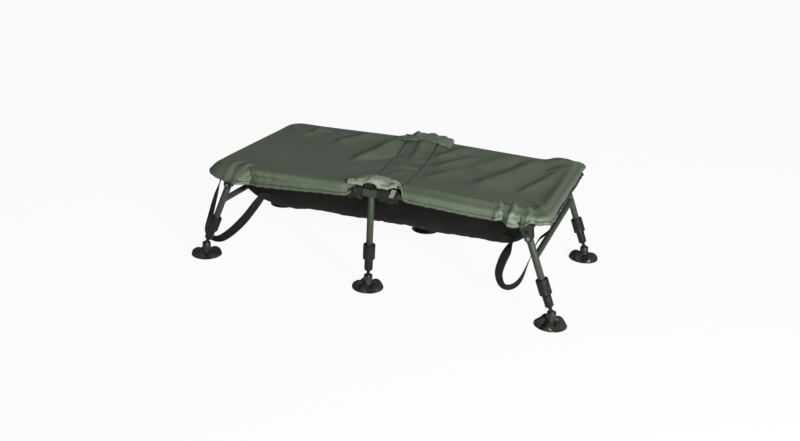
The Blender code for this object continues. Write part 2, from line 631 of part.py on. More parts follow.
def skin(columns, upward):
    """Join columns of points into one sheet that faces up or down."""
    bm = bmesh.new()
    grid = [[bm.verts.new(point) for point in column] for column in columns]
    for left, right in zip(grid, grid[1:]):
        for k in range(len(left) - 1):
            bm.faces.new((left[k], left[k + 1], right[k + 1], right[k]))
    bmesh.ops.remove_doubles(bm, verts=bm.verts, dist=MERGE)
    bmesh.ops.dissolve_degenerate(bm, dist=MERGE, edges=bm.edges)
    bmesh.ops.recalc_face_normals(bm, faces=bm.faces)
    facing = sum(face.normal.z * face.calc_area() for face in bm.faces)
    if (facing > 0.0) != upward:
        bmesh.ops.reverse_faces(bm, faces=bm.faces)
    return bm


def soft_piece(name, bm, thickness, material, parent):
    """Give a sheet its thickness on the side it faces."""
    drop = -parent.location.z if parent else 0.0
    piece = add_piece(name, bm, material, parent, (0.0, 0.0, drop))
    solid = piece.modifiers.new("thickness", "SOLIDIFY")
    solid.thickness = thickness
    solid.offset = 1.0
    return piece


def ease(share):
    """Smooth step from 0 to 1."""
    share = min(max(share, 0.0), 1.0)
    return share * share * (3.0 - 2.0 * share)


def fold_rise(x, y):
    """How far the nearest of the cover's main folds lifts it, down to nothing at the rails."""
    here = Vector((abs(x), y))
    away = FOLD_SPREAD
    for crest in RIGHT_FOLD_SHARES if x > 0.0 else LEFT_FOLD_SHARES:
        points = [Vector((RAIL_REACH * along, HALF_WIDTH * across)) for along, across in crest]
        for start, stop in zip(points, points[1:]):
            course = stop - start
            share = min(max((here - start).dot(course) / course.length_squared, 0.0), 1.0)
            away = min(away, (here - start - course * share).length)
    inboard = min(HALF_WIDTH - abs(y), RAIL_REACH - abs(x))
    return FOLD_HEIGHT * ease(1.0 - away / FOLD_SPREAD) * ease(inboard / FOLD_FADE)


def cover_height(x, y):
    """Inner face of the cover: taut over the rails, a little slack and folded between them."""
    slack = COVER_SAG * (1.0 - (y / HALF_WIDTH) ** 2) * (1.0 - (x / RAIL_REACH) ** 2)
    edge = ease(1.0 - (HALF_WIDTH - abs(y)) / HUMP_SPREAD)
    hump = HUMP * ease(1.0 - abs(x) / COVER_STRIP) ** HUMP_SHARE * edge
    return COVER_INSIDE - slack + fold_rise(x, y) + hump


def skirt_points(x, y, nx, ny, hem, ruffle, roundness, flare=0.0):
    """Points that roll over the rail and hang down to the hem; a low roundness gives a squarer roll."""
    side = TUBE_RADIUS + COVER_SIDE_GAP
    crown = cover_height(x, y) - RAIL_HEIGHT
    points = []
    for angle, part in zip((TURN / 8.0, TURN / 4.0), FLARE_SHARES):
        out = side * math.sin(angle) + flare * part
        up = max(crown * max(math.cos(angle), 0.0) ** roundness, -hem)
        points.append((x + nx * out, y + ny * out, RAIL_HEIGHT + up))
    low = min(-hem, points[-1][2] - RAIL_HEIGHT - CUTOUT_HEM)
    out = side + ruffle + flare * FLARE_SHARES[-1]
    points.append((x + nx * out, y + ny * out, RAIL_HEIGHT + low))
    return points


def make_cover_half(end, material, parent):
    """Elasticated cover over one half of the frame."""
    path = half_rim(COVER_STRIP + CLEARANCE, HALF_WIDTH, RAIL_REACH, RAIL_BEND)
    columns = []
    for index, (x, y, nx, ny) in enumerate(path):
        root = min(x, SPINE)
        away = math.hypot(RAIL_REACH - x, HALF_WIDTH - abs(y))
        corner = ease(1.0 - away / CORNER_SPREAD)
        hem = HEM_DROP + (CORNER_DROP - HEM_DROP) * corner
        gather = SIDE_GATHER_SHARE + (1.0 - SIDE_GATHER_SHARE) * corner
        ruffle = GATHER_DEPTH * gather * (index % 2)
        flare = CORNER_FLARE * ease((FLARE_REACH - away) / FLARE_FALL) if end == LEFT else 0.0
        column = []
        for row in range(COVER_ROWS + 1):
            share = row / COVER_ROWS
            px, py = root + (x - root) * share, y * share
            column.append((end * px, py, cover_height(end * px, py)))
        skirt = skirt_points(x, y, nx, ny, hem, ruffle, RAIL_ROLL_SHARE, flare)
        column += [(end * px, py, pz) for px, py, pz in skirt]
        columns.append(column)
    return soft_piece("cover_" + END_NAMES[end], skin(columns, True), COVER_THICKNESS, material, parent)


def make_cover_strip(material):
    """Strip over the fold that joins the cover's halves and is cut out round the hinges."""
    edge = HINGE_CUTOUT + OVERRUN
    half = [0.0, HINGE_CUTOUT, edge, (edge + COVER_STRIP) / 2.0, COVER_STRIP - CLEARANCE * 2.0]
    places = [-x for x in half[:0:-1]] + half
    columns = []
    for x in places:
        open_here = abs(x) < HINGE_CUTOUT + MERGE
        beside = STRIP_DROP + (HEM_DROP - STRIP_DROP) * ease((abs(x) - edge) / (COVER_STRIP - edge))
        hem = -HUMP - CUTOUT_HEM if open_here else beside
        back = [(x, HALF_WIDTH * row / COVER_ROWS) for row in range(COVER_ROWS + 1)]
        top = [(px, py, cover_height(px, py)) for px, py in back]
        top += skirt_points(x, HALF_WIDTH, 0.0, 1.0, hem, 0.0, HINGE_ROLL_SHARE)
        columns.append([(px, -py, pz) for px, py, pz in top[:0:-1]] + top)
    return soft_piece("cover_strip", skin(columns, True), COVER_THICKNESS, material, None)


def trough_height(share):
    """Outer face of the trough below the rail, from its middle at 0 to its rim at 1."""
    return RAIL_HEIGHT - TROUGH_DEPTH * (1.0 - share ** TROUGH_POWER)


def trough_column(x, y, rows):
    """Points from the middle line out to the tuck, as (x, y, z)."""
    root = min(x, TROUGH_REACH - TROUGH_SIDE)
    inside = TROUGH_TUCK / TROUGH_SIDE
    column = []
    for row in range(rows + 1):
        share = row / TROUGH_ROWS
        reach = share * (1.0 - inside)
        low = trough_height(share) if row < TROUGH_ROWS else RAIL_HEIGHT - TROUGH_TUCK_DROP
        column.append((root + (x - root) * reach, y * reach, min(low, RAIL_HEIGHT - TROUGH_TUCK_DROP)))
    return column


def make_trough_half(end, material, parent):
    """Cloth trough hung inside one half of the frame."""
    columns = []
    for x, y, nx, ny in half_rim(CLEARANCE, TROUGH_SIDE, TROUGH_REACH, TROUGH_CORNER):
        column = trough_column(x, y, TROUGH_ROWS)
        clear = HINGE_CLEAR * ease(1.0 - x / HINGE_CLEAR_REACH)
        column.append((x - nx * clear, y - ny * clear, RAIL_HEIGHT))
        columns.append([(end * px, py, pz) for px, py, pz in column])
    bm = skin(columns, True)
    return soft_piece("trough_" + END_NAMES[end], bm, TROUGH_THICKNESS, material, parent)


def make_pad(end, material, parent):
    """Foam pad that lies in one half of the trough."""
    lift = TROUGH_THICKNESS + CLEARANCE
    columns = []
    for x, y, _, _ in half_rim(PAD_START, TROUGH_SIDE, TROUGH_REACH, TROUGH_CORNER):
        column = trough_column(x, y, PAD_ROWS)
        columns.append([(end * px, py, pz + lift) for px, py, pz in column])
    return soft_piece("foam_pad_" + END_NAMES[end], skin(columns, True), PAD_THICKNESS, material, parent)


def smooth_route(points, count):
    """Even steps along a Catmull-Rom curve through the route's points."""
    ends = [points[0] * 2.0 - points[1], *points, points[-1] * 2.0 - points[-2]]
    route = []
    for k in range(count + 1):
        place = (len(points) - 1) * k / count
        i = min(int(place), len(points) - 2)
        t = place - i
        p0, p1, p2, p3 = ends[i:i + 4]
        bend = (p2 - p0) * t + (p0 * 2.0 - p1 * 5.0 + p2 * 4.0 - p3) * t ** 2
        bend += (p1 * 3.0 - p0 - p2 * 3.0 + p3) * t ** 3
        route.append(p1 + bend * 0.5)
    return route


def make_strap(end, route, seat, slope, material, parent):
    """Flat webbing: its width lies across the mat, then turns on to the trough where it is sewn."""
    half = STRAP_WIDTH / 2.0
    count = len(route) - 1
    frames = []
    for k, point in enumerate(route):
        ahead = (route[min(k + 1, count)] - route[max(k - 1, 0)]).normalized()
        turn = ease((k / count - STRAP_TURN_SHARE) / (1.0 - STRAP_TURN_SHARE))
        across = Vector((0.0, 1.0, 0.0)).lerp(slope, turn)
        frames.append((point, ahead, (across - ahead * across.dot(ahead)).normalized()))
    along = (seat[-1] - seat[0]).normalized()
    frames += [(point, along, slope) for point in seat]
    drop = Vector((0.0, 0.0, -parent.location.z if parent else 0.0))
    loops = []
    for point, ahead, across in frames:
        out = ahead.cross(across).normalized() * STRAP_THICKNESS / 2.0
        corners = ((-half, -1.0), (half, -1.0), (half, 1.0), (-half, 1.0))
        loops.append([point + drop + across * width + out * face for width, face in corners])
    return add_piece("carry_strap_" + END_NAMES[end], loft(loops), material, parent)


def strap_route(end, shape, seat_shares):
    """Loop from beside the end rail, down and back up to a sewn end on the trough's outer face."""
    hang = STRAP_THICKNESS / 2.0 + CLEARANCE
    outside = RAIL_REACH + TUBE_RADIUS + hang
    lane = RAIL_BEND + STRAP_WIDTH / 2.0 - HALF_WIDTH
    rows = trough_column(RAIL_REACH * max(seat_shares), -TROUGH_SIDE, TROUGH_ROWS)
    low, high = Vector(rows[STRAP_ROW]), Vector(rows[STRAP_ROW + 1])
    slope = Vector((0.0, low.y - high.y, low.z - high.z)).normalized()
    middle = (low + high) / 2.0 + Vector((0.0, slope.z, -slope.y)) * hang
    seat = [Vector((end * RAIL_REACH * share, middle.y, middle.z)) for share in seat_shares]
    points = [Vector((end * outside, lane, RAIL_HEIGHT - drop)) for drop in (0.0, TUBE_RADIUS, CORNER_DROP)]
    points += [Vector((end * RAIL_REACH * across, lane, RAIL_HEIGHT * up)) for across, up in shape]
    return smooth_route(points, STRAP_STEPS), seat, slope


def build():
    """Make the whole cradle."""
    for thing in list(bpy.data.objects):
        bpy.data.objects.remove(thing)
    tube = finish("tube_paint", (0.085, 0.105, 0.070), 0.45, 0.2)
    black = finish("black_plastic", (0.012, 0.014, 0.012), 0.5)
    nylon = finish("nylon", (0.03, 0.03, 0.03), 0.55)
    bright = finish("bright_tube", (0.55, 0.56, 0.56), 0.35, 1.0)
    steel = finish("steel", (0.35, 0.35, 0.34), 0.4, 1.0)
    cloth = finish("cover_cloth", (0.105, 0.135, 0.098), 0.6)
    lining = finish("trough_cloth", (0.013, 0.013, 0.011), 0.8)
    foam = finish("foam", (0.05, 0.05, 0.05), 0.9)
    webbing = finish("webbing", (0.008, 0.008, 0.008), 0.75)
    finishes = {"tube": tube, "black": black, "nylon": nylon, "bright": bright}

    fold = axis_empty("fold_axis", (0.0, 0.0, HINGE_HEIGHT))
    halves = {LEFT: None, RIGHT: fold}
    for end in (LEFT, RIGHT):
        half = halves[end]
        make_rail(end, tube, half)
        pivot = axis_empty("leg_pivot_" + END_NAMES[end], (end * BRACKET_REACH, 0.0, PIVOT_HEIGHT))
        legs = {}
        for side in (FRONT, BACK):
            make_leaf(side, end, black, half)
            make_bracket(side, end, tube, half)
            drop = PIVOT_HEIGHT - (half.location.z if half else 0.0)
            label = SIDE_NAMES[side] + "_" + END_NAMES[end]
            at = (end * BRACKET_REACH, side * HALF_WIDTH, drop)
            add_piece("leg_rivet_" + label, rivet(LEG_PIN_RADIUS, CHEEK_OUTSIDE), steel, half, at)
            legs[side, end] = make_leg(side, end, finishes, pivot)
        make_crossbar(end, tube, pivot, legs)
        make_cover_half(end, cloth, half)
        make_trough_half(end, lining, half)
        make_pad(end, foam, half)
    for side in (FRONT, BACK):
        make_saddle(side, tube)
        pin = rivet(HINGE_PIN_RADIUS, FORK_WIDTH / 2.0)
        add_piece("hinge_pin_" + SIDE_NAMES[side], pin, steel, None, (0.0, side * HALF_WIDTH, HINGE_HEIGHT))
        make_leg(side, 0, finishes, None)
    make_cover_strip(cloth)
    for end, shape, seat in ((LEFT, LEFT_LOOP_SHARES, LEFT_SEAT_SHARES),
                             (RIGHT, RIGHT_LOOP_SHARES, RIGHT_SEAT_SHARES)):
        make_strap(end, *strap_route(end, shape, seat), webbing, halves[end])


build()
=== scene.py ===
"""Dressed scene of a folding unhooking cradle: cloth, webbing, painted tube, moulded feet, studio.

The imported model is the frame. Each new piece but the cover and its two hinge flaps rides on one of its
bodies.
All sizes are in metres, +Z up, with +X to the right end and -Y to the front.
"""
import logging
import math
from dataclasses import dataclass
from enum import Enum
from functools import cache
from typing import Callable, Sequence

import bmesh
import bpy
import numpy as np
from mathutils import Matrix, Vector


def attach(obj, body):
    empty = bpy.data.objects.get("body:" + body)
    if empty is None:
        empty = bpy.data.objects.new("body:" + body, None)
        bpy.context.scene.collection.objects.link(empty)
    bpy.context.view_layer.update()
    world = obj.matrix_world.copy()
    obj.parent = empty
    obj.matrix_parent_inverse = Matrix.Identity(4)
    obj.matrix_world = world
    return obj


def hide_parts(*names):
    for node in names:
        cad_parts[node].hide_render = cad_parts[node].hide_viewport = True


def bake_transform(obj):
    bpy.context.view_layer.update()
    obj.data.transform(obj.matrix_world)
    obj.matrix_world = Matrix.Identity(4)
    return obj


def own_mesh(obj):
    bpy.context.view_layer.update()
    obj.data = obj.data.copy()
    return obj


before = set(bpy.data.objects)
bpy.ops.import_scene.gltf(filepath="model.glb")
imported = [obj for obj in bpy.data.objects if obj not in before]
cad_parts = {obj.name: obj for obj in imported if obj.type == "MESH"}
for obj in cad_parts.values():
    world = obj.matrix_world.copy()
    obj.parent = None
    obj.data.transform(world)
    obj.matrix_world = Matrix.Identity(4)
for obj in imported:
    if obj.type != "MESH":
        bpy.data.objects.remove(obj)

logging.basicConfig(level=logging.INFO, format="%(message)s")
LOG = logging.getLogger("cradle")

Pair = tuple[float, float]
Point = tuple[float, float, float]
Colour = tuple[float, float, float]
Profile = tuple[Pair, ...]
Piece = bpy.types.Object
Socket = bpy.types.NodeSocket
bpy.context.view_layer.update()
QUARTER = math.pi / 2.0
TURN = 2.0 * math.pi
UP = (0.0, 0.0, 1.0)
WHITE = (1.0, 1.0, 1.0, 1.0)


class End(Enum):
    """Ends of the cradle, by the sign of X."""

    LEFT = -1
    CENTRE = 0
    RIGHT = 1

    @property
    def label(self) -> str:
        """The end's word in node and body names."""
        return self.name.lower()


class Side(Enum):
    """Long sides of the cradle, by the sign of Y."""

    FRONT = -1
    BACK = 1

    @property
    def label(self) -> str:
        """The side's word in node and body names."""
        return self.name.lower()


@dataclass(frozen=True)
class Sizes:
    """Main sizes of the cradle, as the solid model has them."""

    foot_spacing: float = 1.100
    rail_spacing: float = 0.524
    rail_reach: float = 0.502
    rail_height: float = 0.300
    rail_bend: float = 0.035
    tube: float = 0.010
    wall: float = 0.0012
    pivot_reach: float = 0.4652
    pivot_height: float = 0.247
    ball_height: float = 0.037
    crossbar_rise: float = 0.1666
    crossbar: float = 0.009
    trough_depth: float = 0.150
    trough_power: float = 4.0

    @property
    def half_width(self) -> float:
        """Rail axis from the middle, across."""
        return self.rail_spacing / 2.0

    @property
    def half_length(self) -> float:
        """End foot from the middle, along."""
        return self.foot_spacing / 2.0

    @property
    def splay(self) -> float:
        """Lean of the end legs, in radians."""
        return math.atan2(self.half_length - self.pivot_reach, self.pivot_height - self.ball_height)

    @property
    def pivot_rise(self) -> float:
        """Leg pivot from the ball, along the leg."""
        return math.hypot(self.half_length - self.pivot_reach, self.pivot_height - self.ball_height)


SIZES = Sizes()


def ease(share: np.ndarray | float) -> np.ndarray:
    """Smooth step from 0 to 1."""
    share = np.clip(share, 0.0, 1.0)
    return share * share * (3.0 - 2.0 * share)


def ripple(along: np.ndarray, seed: float, waves: Profile) -> np.ndarray:
    """Uneven wave made of a few sines.

    Args:
        along: place along the wave, in metres.
        seed: shifts every sine.
        waves: wavelength in metres and share of each sine.

    Returns:
        Values from about -1 to 1.
    """
    total = np.zeros_like(along)
    for order, (length, share) in enumerate(waves):
        total += share * np.sin(TURN * along / length + seed * (order + 1.7))
    return total


def follow(x: np.ndarray, profile: Profile) -> np.ndarray:
    """Read a profile, which pairs places with values, at each x."""
    places, values = zip(*profile)
    return np.interp(x, places, values)


def bell(x: np.ndarray | float, middle: float, width: float, power: float = 2.0) -> np.ndarray:
    """Bump of height 1 round a middle."""
    return np.exp(-np.abs((x - middle) / width) ** power)


def spot(x: np.ndarray, y: np.ndarray, at: Pair, spread: Pair, power: float = 2.0) -> np.ndarray:
    """Bump of height 1 round a plan point."""
    return bell(x, at[0], spread[0], power) * bell(y, at[1], spread[1], power)


def vault(x: np.ndarray, middle: float, reach: float) -> np.ndarray:
    """Round arch of height 1 over a middle."""
    return np.clip(1.0 - ((x - middle) / reach) ** 2, 0.0, 1.0) ** 0.5


def between(x: np.ndarray, start: float, rise: float, stop: float, fall: float) -> np.ndarray:
    """Share that rises from a start, over a distance, and falls to a stop."""
    return ease((x - start) / rise) * ease((stop - x) / fall)


def bend(x: float, y: float, radius: float, start: int, shares: np.ndarray, root: float
         ) -> list[tuple[float, ...]]:
    """Columns of a plan outline round one of its bends.

    Args:
        x: the bend's centre along the cradle.
        y: its centre across.
        radius: its radius.
        start: the angle at which it begins, in quarter turns.
        shares: the parts of the quarter turn at which the columns stand.
        root: where along the cradle the cloth's threads to this bend begin.

    Returns:
        Rows of x, y, nx, ny, root x.
    """
    angles = QUARTER * (start + shares)
    normals = zip(np.cos(angles), np.sin(angles))
    return [(x + radius * nx, y + radius * ny, nx, ny, root) for nx, ny in normals]


# Modelling


class Bench:
    """Blender's modelling operators, used as by hand."""

    @staticmethod
    def clear() -> None:
        """Leave edit mode and select nothing."""
        if bpy.context.object and bpy.context.object.mode != "OBJECT":
            bpy.ops.object.mode_set(mode="OBJECT")
        bpy.ops.object.select_all(action="DESELECT")

    @staticmethod
    def only(piece: Piece) -> None:
        """Select one piece and make it active."""
        Bench.clear()
        piece.select_set(True)
        bpy.context.view_layer.objects.active = piece

    @staticmethod
    def edit(piece: Piece) -> None:
        """Enter edit mode with the whole mesh selected."""
        Bench.only(piece)
        bpy.ops.object.mode_set(mode="EDIT")
        bpy.ops.mesh.select_all(action="SELECT")

    @staticmethod
    def turn_out() -> None:
        """Turn all faces outwards and leave edit mode."""
        bpy.ops.mesh.select_all(action="SELECT")
        bpy.ops.mesh.normals_make_consistent(inside=False)
        bpy.ops.object.mode_set(mode="OBJECT")

    @staticmethod
    def settle() -> None:
        """Put the active piece's place into its mesh."""
        bpy.ops.object.transform_apply(location=True, rotation=True, scale=True)

    @staticmethod
    def pick_faces(piece: Piece, test: Callable[[Vector], bool]) -> None:
        """Select the faces whose centres pass a test, and stay in edit mode."""
        Bench.edit(piece)
        bpy.ops.mesh.select_mode(type="FACE")
        bpy.ops.mesh.select_all(action="DESELECT")
        shape = bmesh.from_edit_mesh(piece.data)
        for face in shape.faces:
            if test(face.calc_center_median()):
                face.select_set(True)
        shape.select_flush(True)
        bmesh.update_edit_mesh(piece.data)

    @staticmethod
    def turned(name: str, rings: Sequence[tuple[float, float]], sides: int = 40,
               closed: bool = False) -> Piece:
        """Extrude a circle ring by ring up Z, as on a lathe.

        Args:
            name: the piece's name.
            rings: radius and height of each ring.
            sides: points round each ring.
            closed: join the last ring back to the first, and otherwise close both ends with a face.

        Returns:
            The new piece, at the origin.
        """
        Bench.clear()
        radius, height = rings[0]
        bpy.ops.mesh.primitive_circle_add(vertices=sides, radius=radius, location=(0.0, 0.0, height))
        piece = bpy.context.object
        piece.name = name
        Bench.settle()
        bpy.ops.object.mode_set(mode="EDIT")
        bpy.ops.mesh.select_mode(type="VERT")
        bpy.ops.mesh.select_all(action="SELECT")
        for wide, high in rings[1:]:
            bpy.ops.mesh.extrude_region_move(TRANSFORM_OT_translate={"value": (0.0, 0.0, high - height)})
            if abs(wide - radius) > 1e-9:
                ratio = wide / radius
                bpy.ops.transform.resize(value=(ratio, ratio, 1.0), center_override=(0.0, 0.0, 0.0))
            radius, height = wide, high
        bpy.ops.mesh.select_all(action="DESELECT")
        bpy.ops.mesh.select_non_manifold()
        if closed:
            bpy.ops.mesh.bridge_edge_loops()
        else:
            bpy.ops.mesh.fill_holes(sides=0)
        Bench.turn_out()
        return piece

    @staticmethod
    def place(piece: Piece, where: Matrix, angle: float = 40.0) -> Piece:
        """Put a piece in place, leave its object at the origin and shade it smooth below an angle."""
        Bench.only(piece)
        piece.matrix_world = where
        Bench.settle()
        return Bench.smooth(piece, angle)

    @staticmethod
    def smooth(piece: Piece, angle: float = 40.0) -> Piece:
        """Shade a piece smooth below an angle."""
        Bench.only(piece)
        bpy.ops.object.shade_smooth_by_angle(angle=math.radians(angle))
        return piece

    @staticmethod
    def wall(piece: Piece, thickness: float, offset: float) -> None:
        """Give an open mesh its wall: it grows outwards at an offset of 1 and inwards at -1."""
        Bench.only(piece)
        modifier = piece.modifiers.new("wall", "SOLIDIFY")
        modifier.thickness = thickness
        modifier.offset = offset
        bpy.ops.object.modifier_apply(modifier=modifier.name)

    @staticmethod
    def knit(name: str, points: np.ndarray, faces: Sequence[tuple[int, ...]], flat: np.ndarray) -> Piece:
        """Make a mesh from points and faces, with flat places in metres as its UV map.

        Args:
            name: the piece's name.
            points: the points.
            faces: the faces, as numbers of points.
            flat: each point's place on the flat cloth.

        Returns:
            The new piece.
        """
        Bench.clear()
        mesh = bpy.data.meshes.new(name)
        mesh.from_pydata(points.reshape(-1, 3).tolist(), [], faces)
        layer = mesh.uv_layers.new(name="UVMap")
        corner = np.zeros(len(mesh.loops), dtype=np.int32)
        mesh.loops.foreach_get("vertex_index", corner)
        layer.data.foreach_set("uv", flat[corner].astype(np.float32).ravel())
        piece = bpy.data.objects.new(name, mesh)
        bpy.context.collection.objects.link(piece)
        return piece

    @staticmethod
    def cloth(name: str, rows: np.ndarray, ring: bool, marks: dict[str, np.ndarray]) -> Piece:
        """Make an open sheet from a grid of points.

        Args:
            name: the piece's name.
            rows: points as an array of columns by rows by 3.
            ring: join the last column to the first.
            marks: values from 0 to 1 at the points, such as where the painted shadow along the seams runs,
                for the finish.

        Returns:
            The new open sheet, with its lengths in metres as its UV map.
        """
        columns, count, _ = rows.shape
        faces = []
        for i in range(columns if ring else columns - 1):
            j = (i + 1) % columns
            for k in range(count - 1):
                faces.append((i * count + k, j * count + k, j * count + k + 1, i * count + k + 1))
        lengths = np.zeros((columns, count, 2))
        steps = np.linalg.norm(np.diff(rows[:, -1], axis=0), axis=1)
        lengths[1:, :, 0] = np.cumsum(steps)[:, None]
        lengths[:, 1:, 1] = np.cumsum(np.linalg.norm(np.diff(rows, axis=1), axis=2), axis=1)
        piece = Bench.knit(name, rows, faces, lengths.reshape(-1, 2))
        for label, values in marks.items():
            mark = piece.data.attributes.new(label, "FLOAT", "POINT")
            mark.data.foreach_set("value", values.reshape(-1).astype(np.float32))
        Bench.edit(piece)
        bpy.ops.mesh.remove_doubles(threshold=0.00002)
        bpy.ops.mesh.dissolve_degenerate(threshold=0.00001)
        Bench.turn_out()
        return piece

    @staticmethod
    def sheet(name: str, rows: np.ndarray, thickness: float, facing: Point, finish: "Finish",
              ring: bool = False, marks: dict[str, np.ndarray] | None = None) -> tuple[Piece, float]:
        """Make a dressed sheet from a grid of points.

        Args:
            name: the piece's name.
            rows: points as an array of columns by rows by 3.
            thickness: its thickness.
            facing: the direction that the side which gets the thickness mostly faces.
            finish: its finish.
            ring: join the last column to the first.
            marks: values from 0 to 1 at the points, for the finish.

        Returns:
            The new sheet, and the area of one side of it.
        """
        piece = Bench.cloth(name, rows, ring, marks or {})
        area = sum(face.area for face in piece.data.polygons)
        total = Vector((0.0, 0.0, 0.0))
        for face in piece.data.polygons:
            total += face.normal * face.area
        if total.dot(Vector(facing)) < 0.0:
            piece.data.flip_normals()
        Bench.wall(piece, thickness, 1.0)
        Bench.smooth(piece, 70.0)
        finish.dress(piece)
        LOG.info("%s: %.4f m2", name, area)
        return piece, area


# Finishes


class Wiring:
    """A node tree, with short ways to add nodes and join their inputs."""

    def __init__(self, tree: bpy.types.NodeTree) -> None:
        """Take the tree."""
        self.tree = tree

    def join(self, node: bpy.types.Node, inputs: dict[str | int, object]) -> bpy.types.Node:
        """Give a node's inputs, by name or number, their values or link other nodes' outputs to them."""
        for label, value in inputs.items():
            if isinstance(value, Socket):
                self.tree.links.new(value, node.inputs[label])
            else:
                node.inputs[label].default_value = value
        return node

    def add(self, kind: str, inputs: dict[str | int, object] | None = None,
            **settings: object) -> bpy.types.Node:
        """Add a node.

        Args:
            kind: its type.
            inputs: a value or another node's output for each of its inputs, by name or number.
            settings: its own settings, such as its operation.

        Returns:
            The new node.
        """
        node = self.tree.nodes.new(kind)
        for label, value in settings.items():
            setattr(node, label, value)
        return self.join(node, inputs or {})

    def math(self, operation: str, *terms: float | Socket) -> Socket:
        """Add a Math node over its terms and return its value."""
        return self.add("ShaderNodeMath", dict(enumerate(terms)), operation=operation).outputs[0]

    def shade(self, factor: float | Socket, colour: Socket, shade: tuple[float, ...] | Socket) -> Socket:
        """Multiply a colour by a shade as far as a factor says, and return the new colour."""
        return self.add("ShaderNodeMix", {"Factor": factor, 6: colour, 7: shade},
                        data_type="RGBA", blend_type="MULTIPLY").outputs[2]


class NodeGroups:
    """Shared effects as shader node groups, each made once: they put out only values and heights."""

    @staticmethod
    def _start(name: str, inputs: dict[str, float], outputs: Sequence[str]
               ) -> tuple[Wiring, dict[str, Socket], bpy.types.Node]:
        """Open a new group with its sockets.

        Args:
            name: the group's name.
            inputs: its number inputs beside the vector, with their defaults.
            outputs: its number outputs.

        Returns:
            The group's wiring, its inputs by name, and its output node.
        """
        tree = bpy.data.node_groups.new(name, "ShaderNodeTree")
        tree.interface.new_socket(name="Vector", in_out="INPUT", socket_type="NodeSocketVector")
        for label, value in inputs.items():
            socket = tree.interface.new_socket(name=label, in_out="INPUT", socket_type="NodeSocketFloat")
            socket.default_value = value
        for label in outputs:
            tree.interface.new_socket(name=label, in_out="OUTPUT", socket_type="NodeSocketFloat")
        start, result = tree.nodes.new("NodeGroupInput"), tree.nodes.new("NodeGroupOutput")
        return Wiring(tree), {label: start.outputs[label] for label in ("Vector", *inputs)}, result

    @staticmethod
    @cache
    def weave() -> bpy.types.NodeTree:
        """Plain weave: a height and a thread mask from a flat or space vector."""
        group, given, result = NodeGroups._start("weave", {"Pitch": 0.001}, ("Height", "Mask"))
        pitch = group.add("ShaderNodeCombineXYZ", {axis: given["Pitch"] for axis in "XYZ"})
        threads = group.add("ShaderNodeVectorMath", {0: given["Vector"], 1: pitch.outputs[0]},
                            operation="DIVIDE")
        split = group.add("ShaderNodeSeparateXYZ", {0: threads.outputs[0]})
        waves = [group.math("SINE", group.math("MULTIPLY", split.outputs[axis], math.pi)) for axis in "XYZ"]
        height = group.math("MULTIPLY_ADD", waves[2], 0.5, group.math("MULTIPLY", waves[0], waves[1]))
        group.join(result, {"Height": height, "Mask": group.math("ABSOLUTE", height)})
        return group.tree

    @staticmethod
    @cache
    def mottle() -> bpy.types.NodeTree:
        """Slow unevenness: two sizes of noise as one value."""
        group, given, result = NodeGroups._start("mottle", {"Scale": 12.0, "Detail scale": 90.0}, ("Value",))
        coarse, fine = (
            group.add("ShaderNodeTexNoise", {
                "Vector": given["Vector"], "Scale": given[label], "Detail": detail})
            for label, detail in (("Scale", 4.0), ("Detail scale", 3.0)))
        slow = group.math("MULTIPLY", coarse.outputs["Fac"], 0.65)
        group.join(result, {"Value": group.math("MULTIPLY_ADD", fine.outputs["Fac"], 0.35, slow)})
        return group.tree

    @staticmethod
    @cache
    def crumple() -> bpy.types.NodeTree:
        """Fine creases of coated cloth, as a height."""
        group, given, result = NodeGroups._start("crumple", {"Scale": 14.0, "Warp": 0.05}, ("Height",))
        warp = group.add("ShaderNodeTexNoise", {"Vector": given["Vector"], "Scale": 9.0, "Detail": 3.0})
        push = group.add("ShaderNodeVectorMath", {0: warp.outputs["Color"], "Scale": given["Warp"]},
                         operation="SCALE")
        moved = group.add("ShaderNodeVectorMath", {0: given["Vector"], 1: push.outputs[0]}, operation="ADD")
        cells = group.add("ShaderNodeTexVoronoi", {"Vector": moved.outputs[0], "Scale": given["Scale"],
                                                   "Smoothness": 0.35}, feature="SMOOTH_F1")
        group.join(result, {"Height": cells.outputs["Distance"]})
        return group.tree


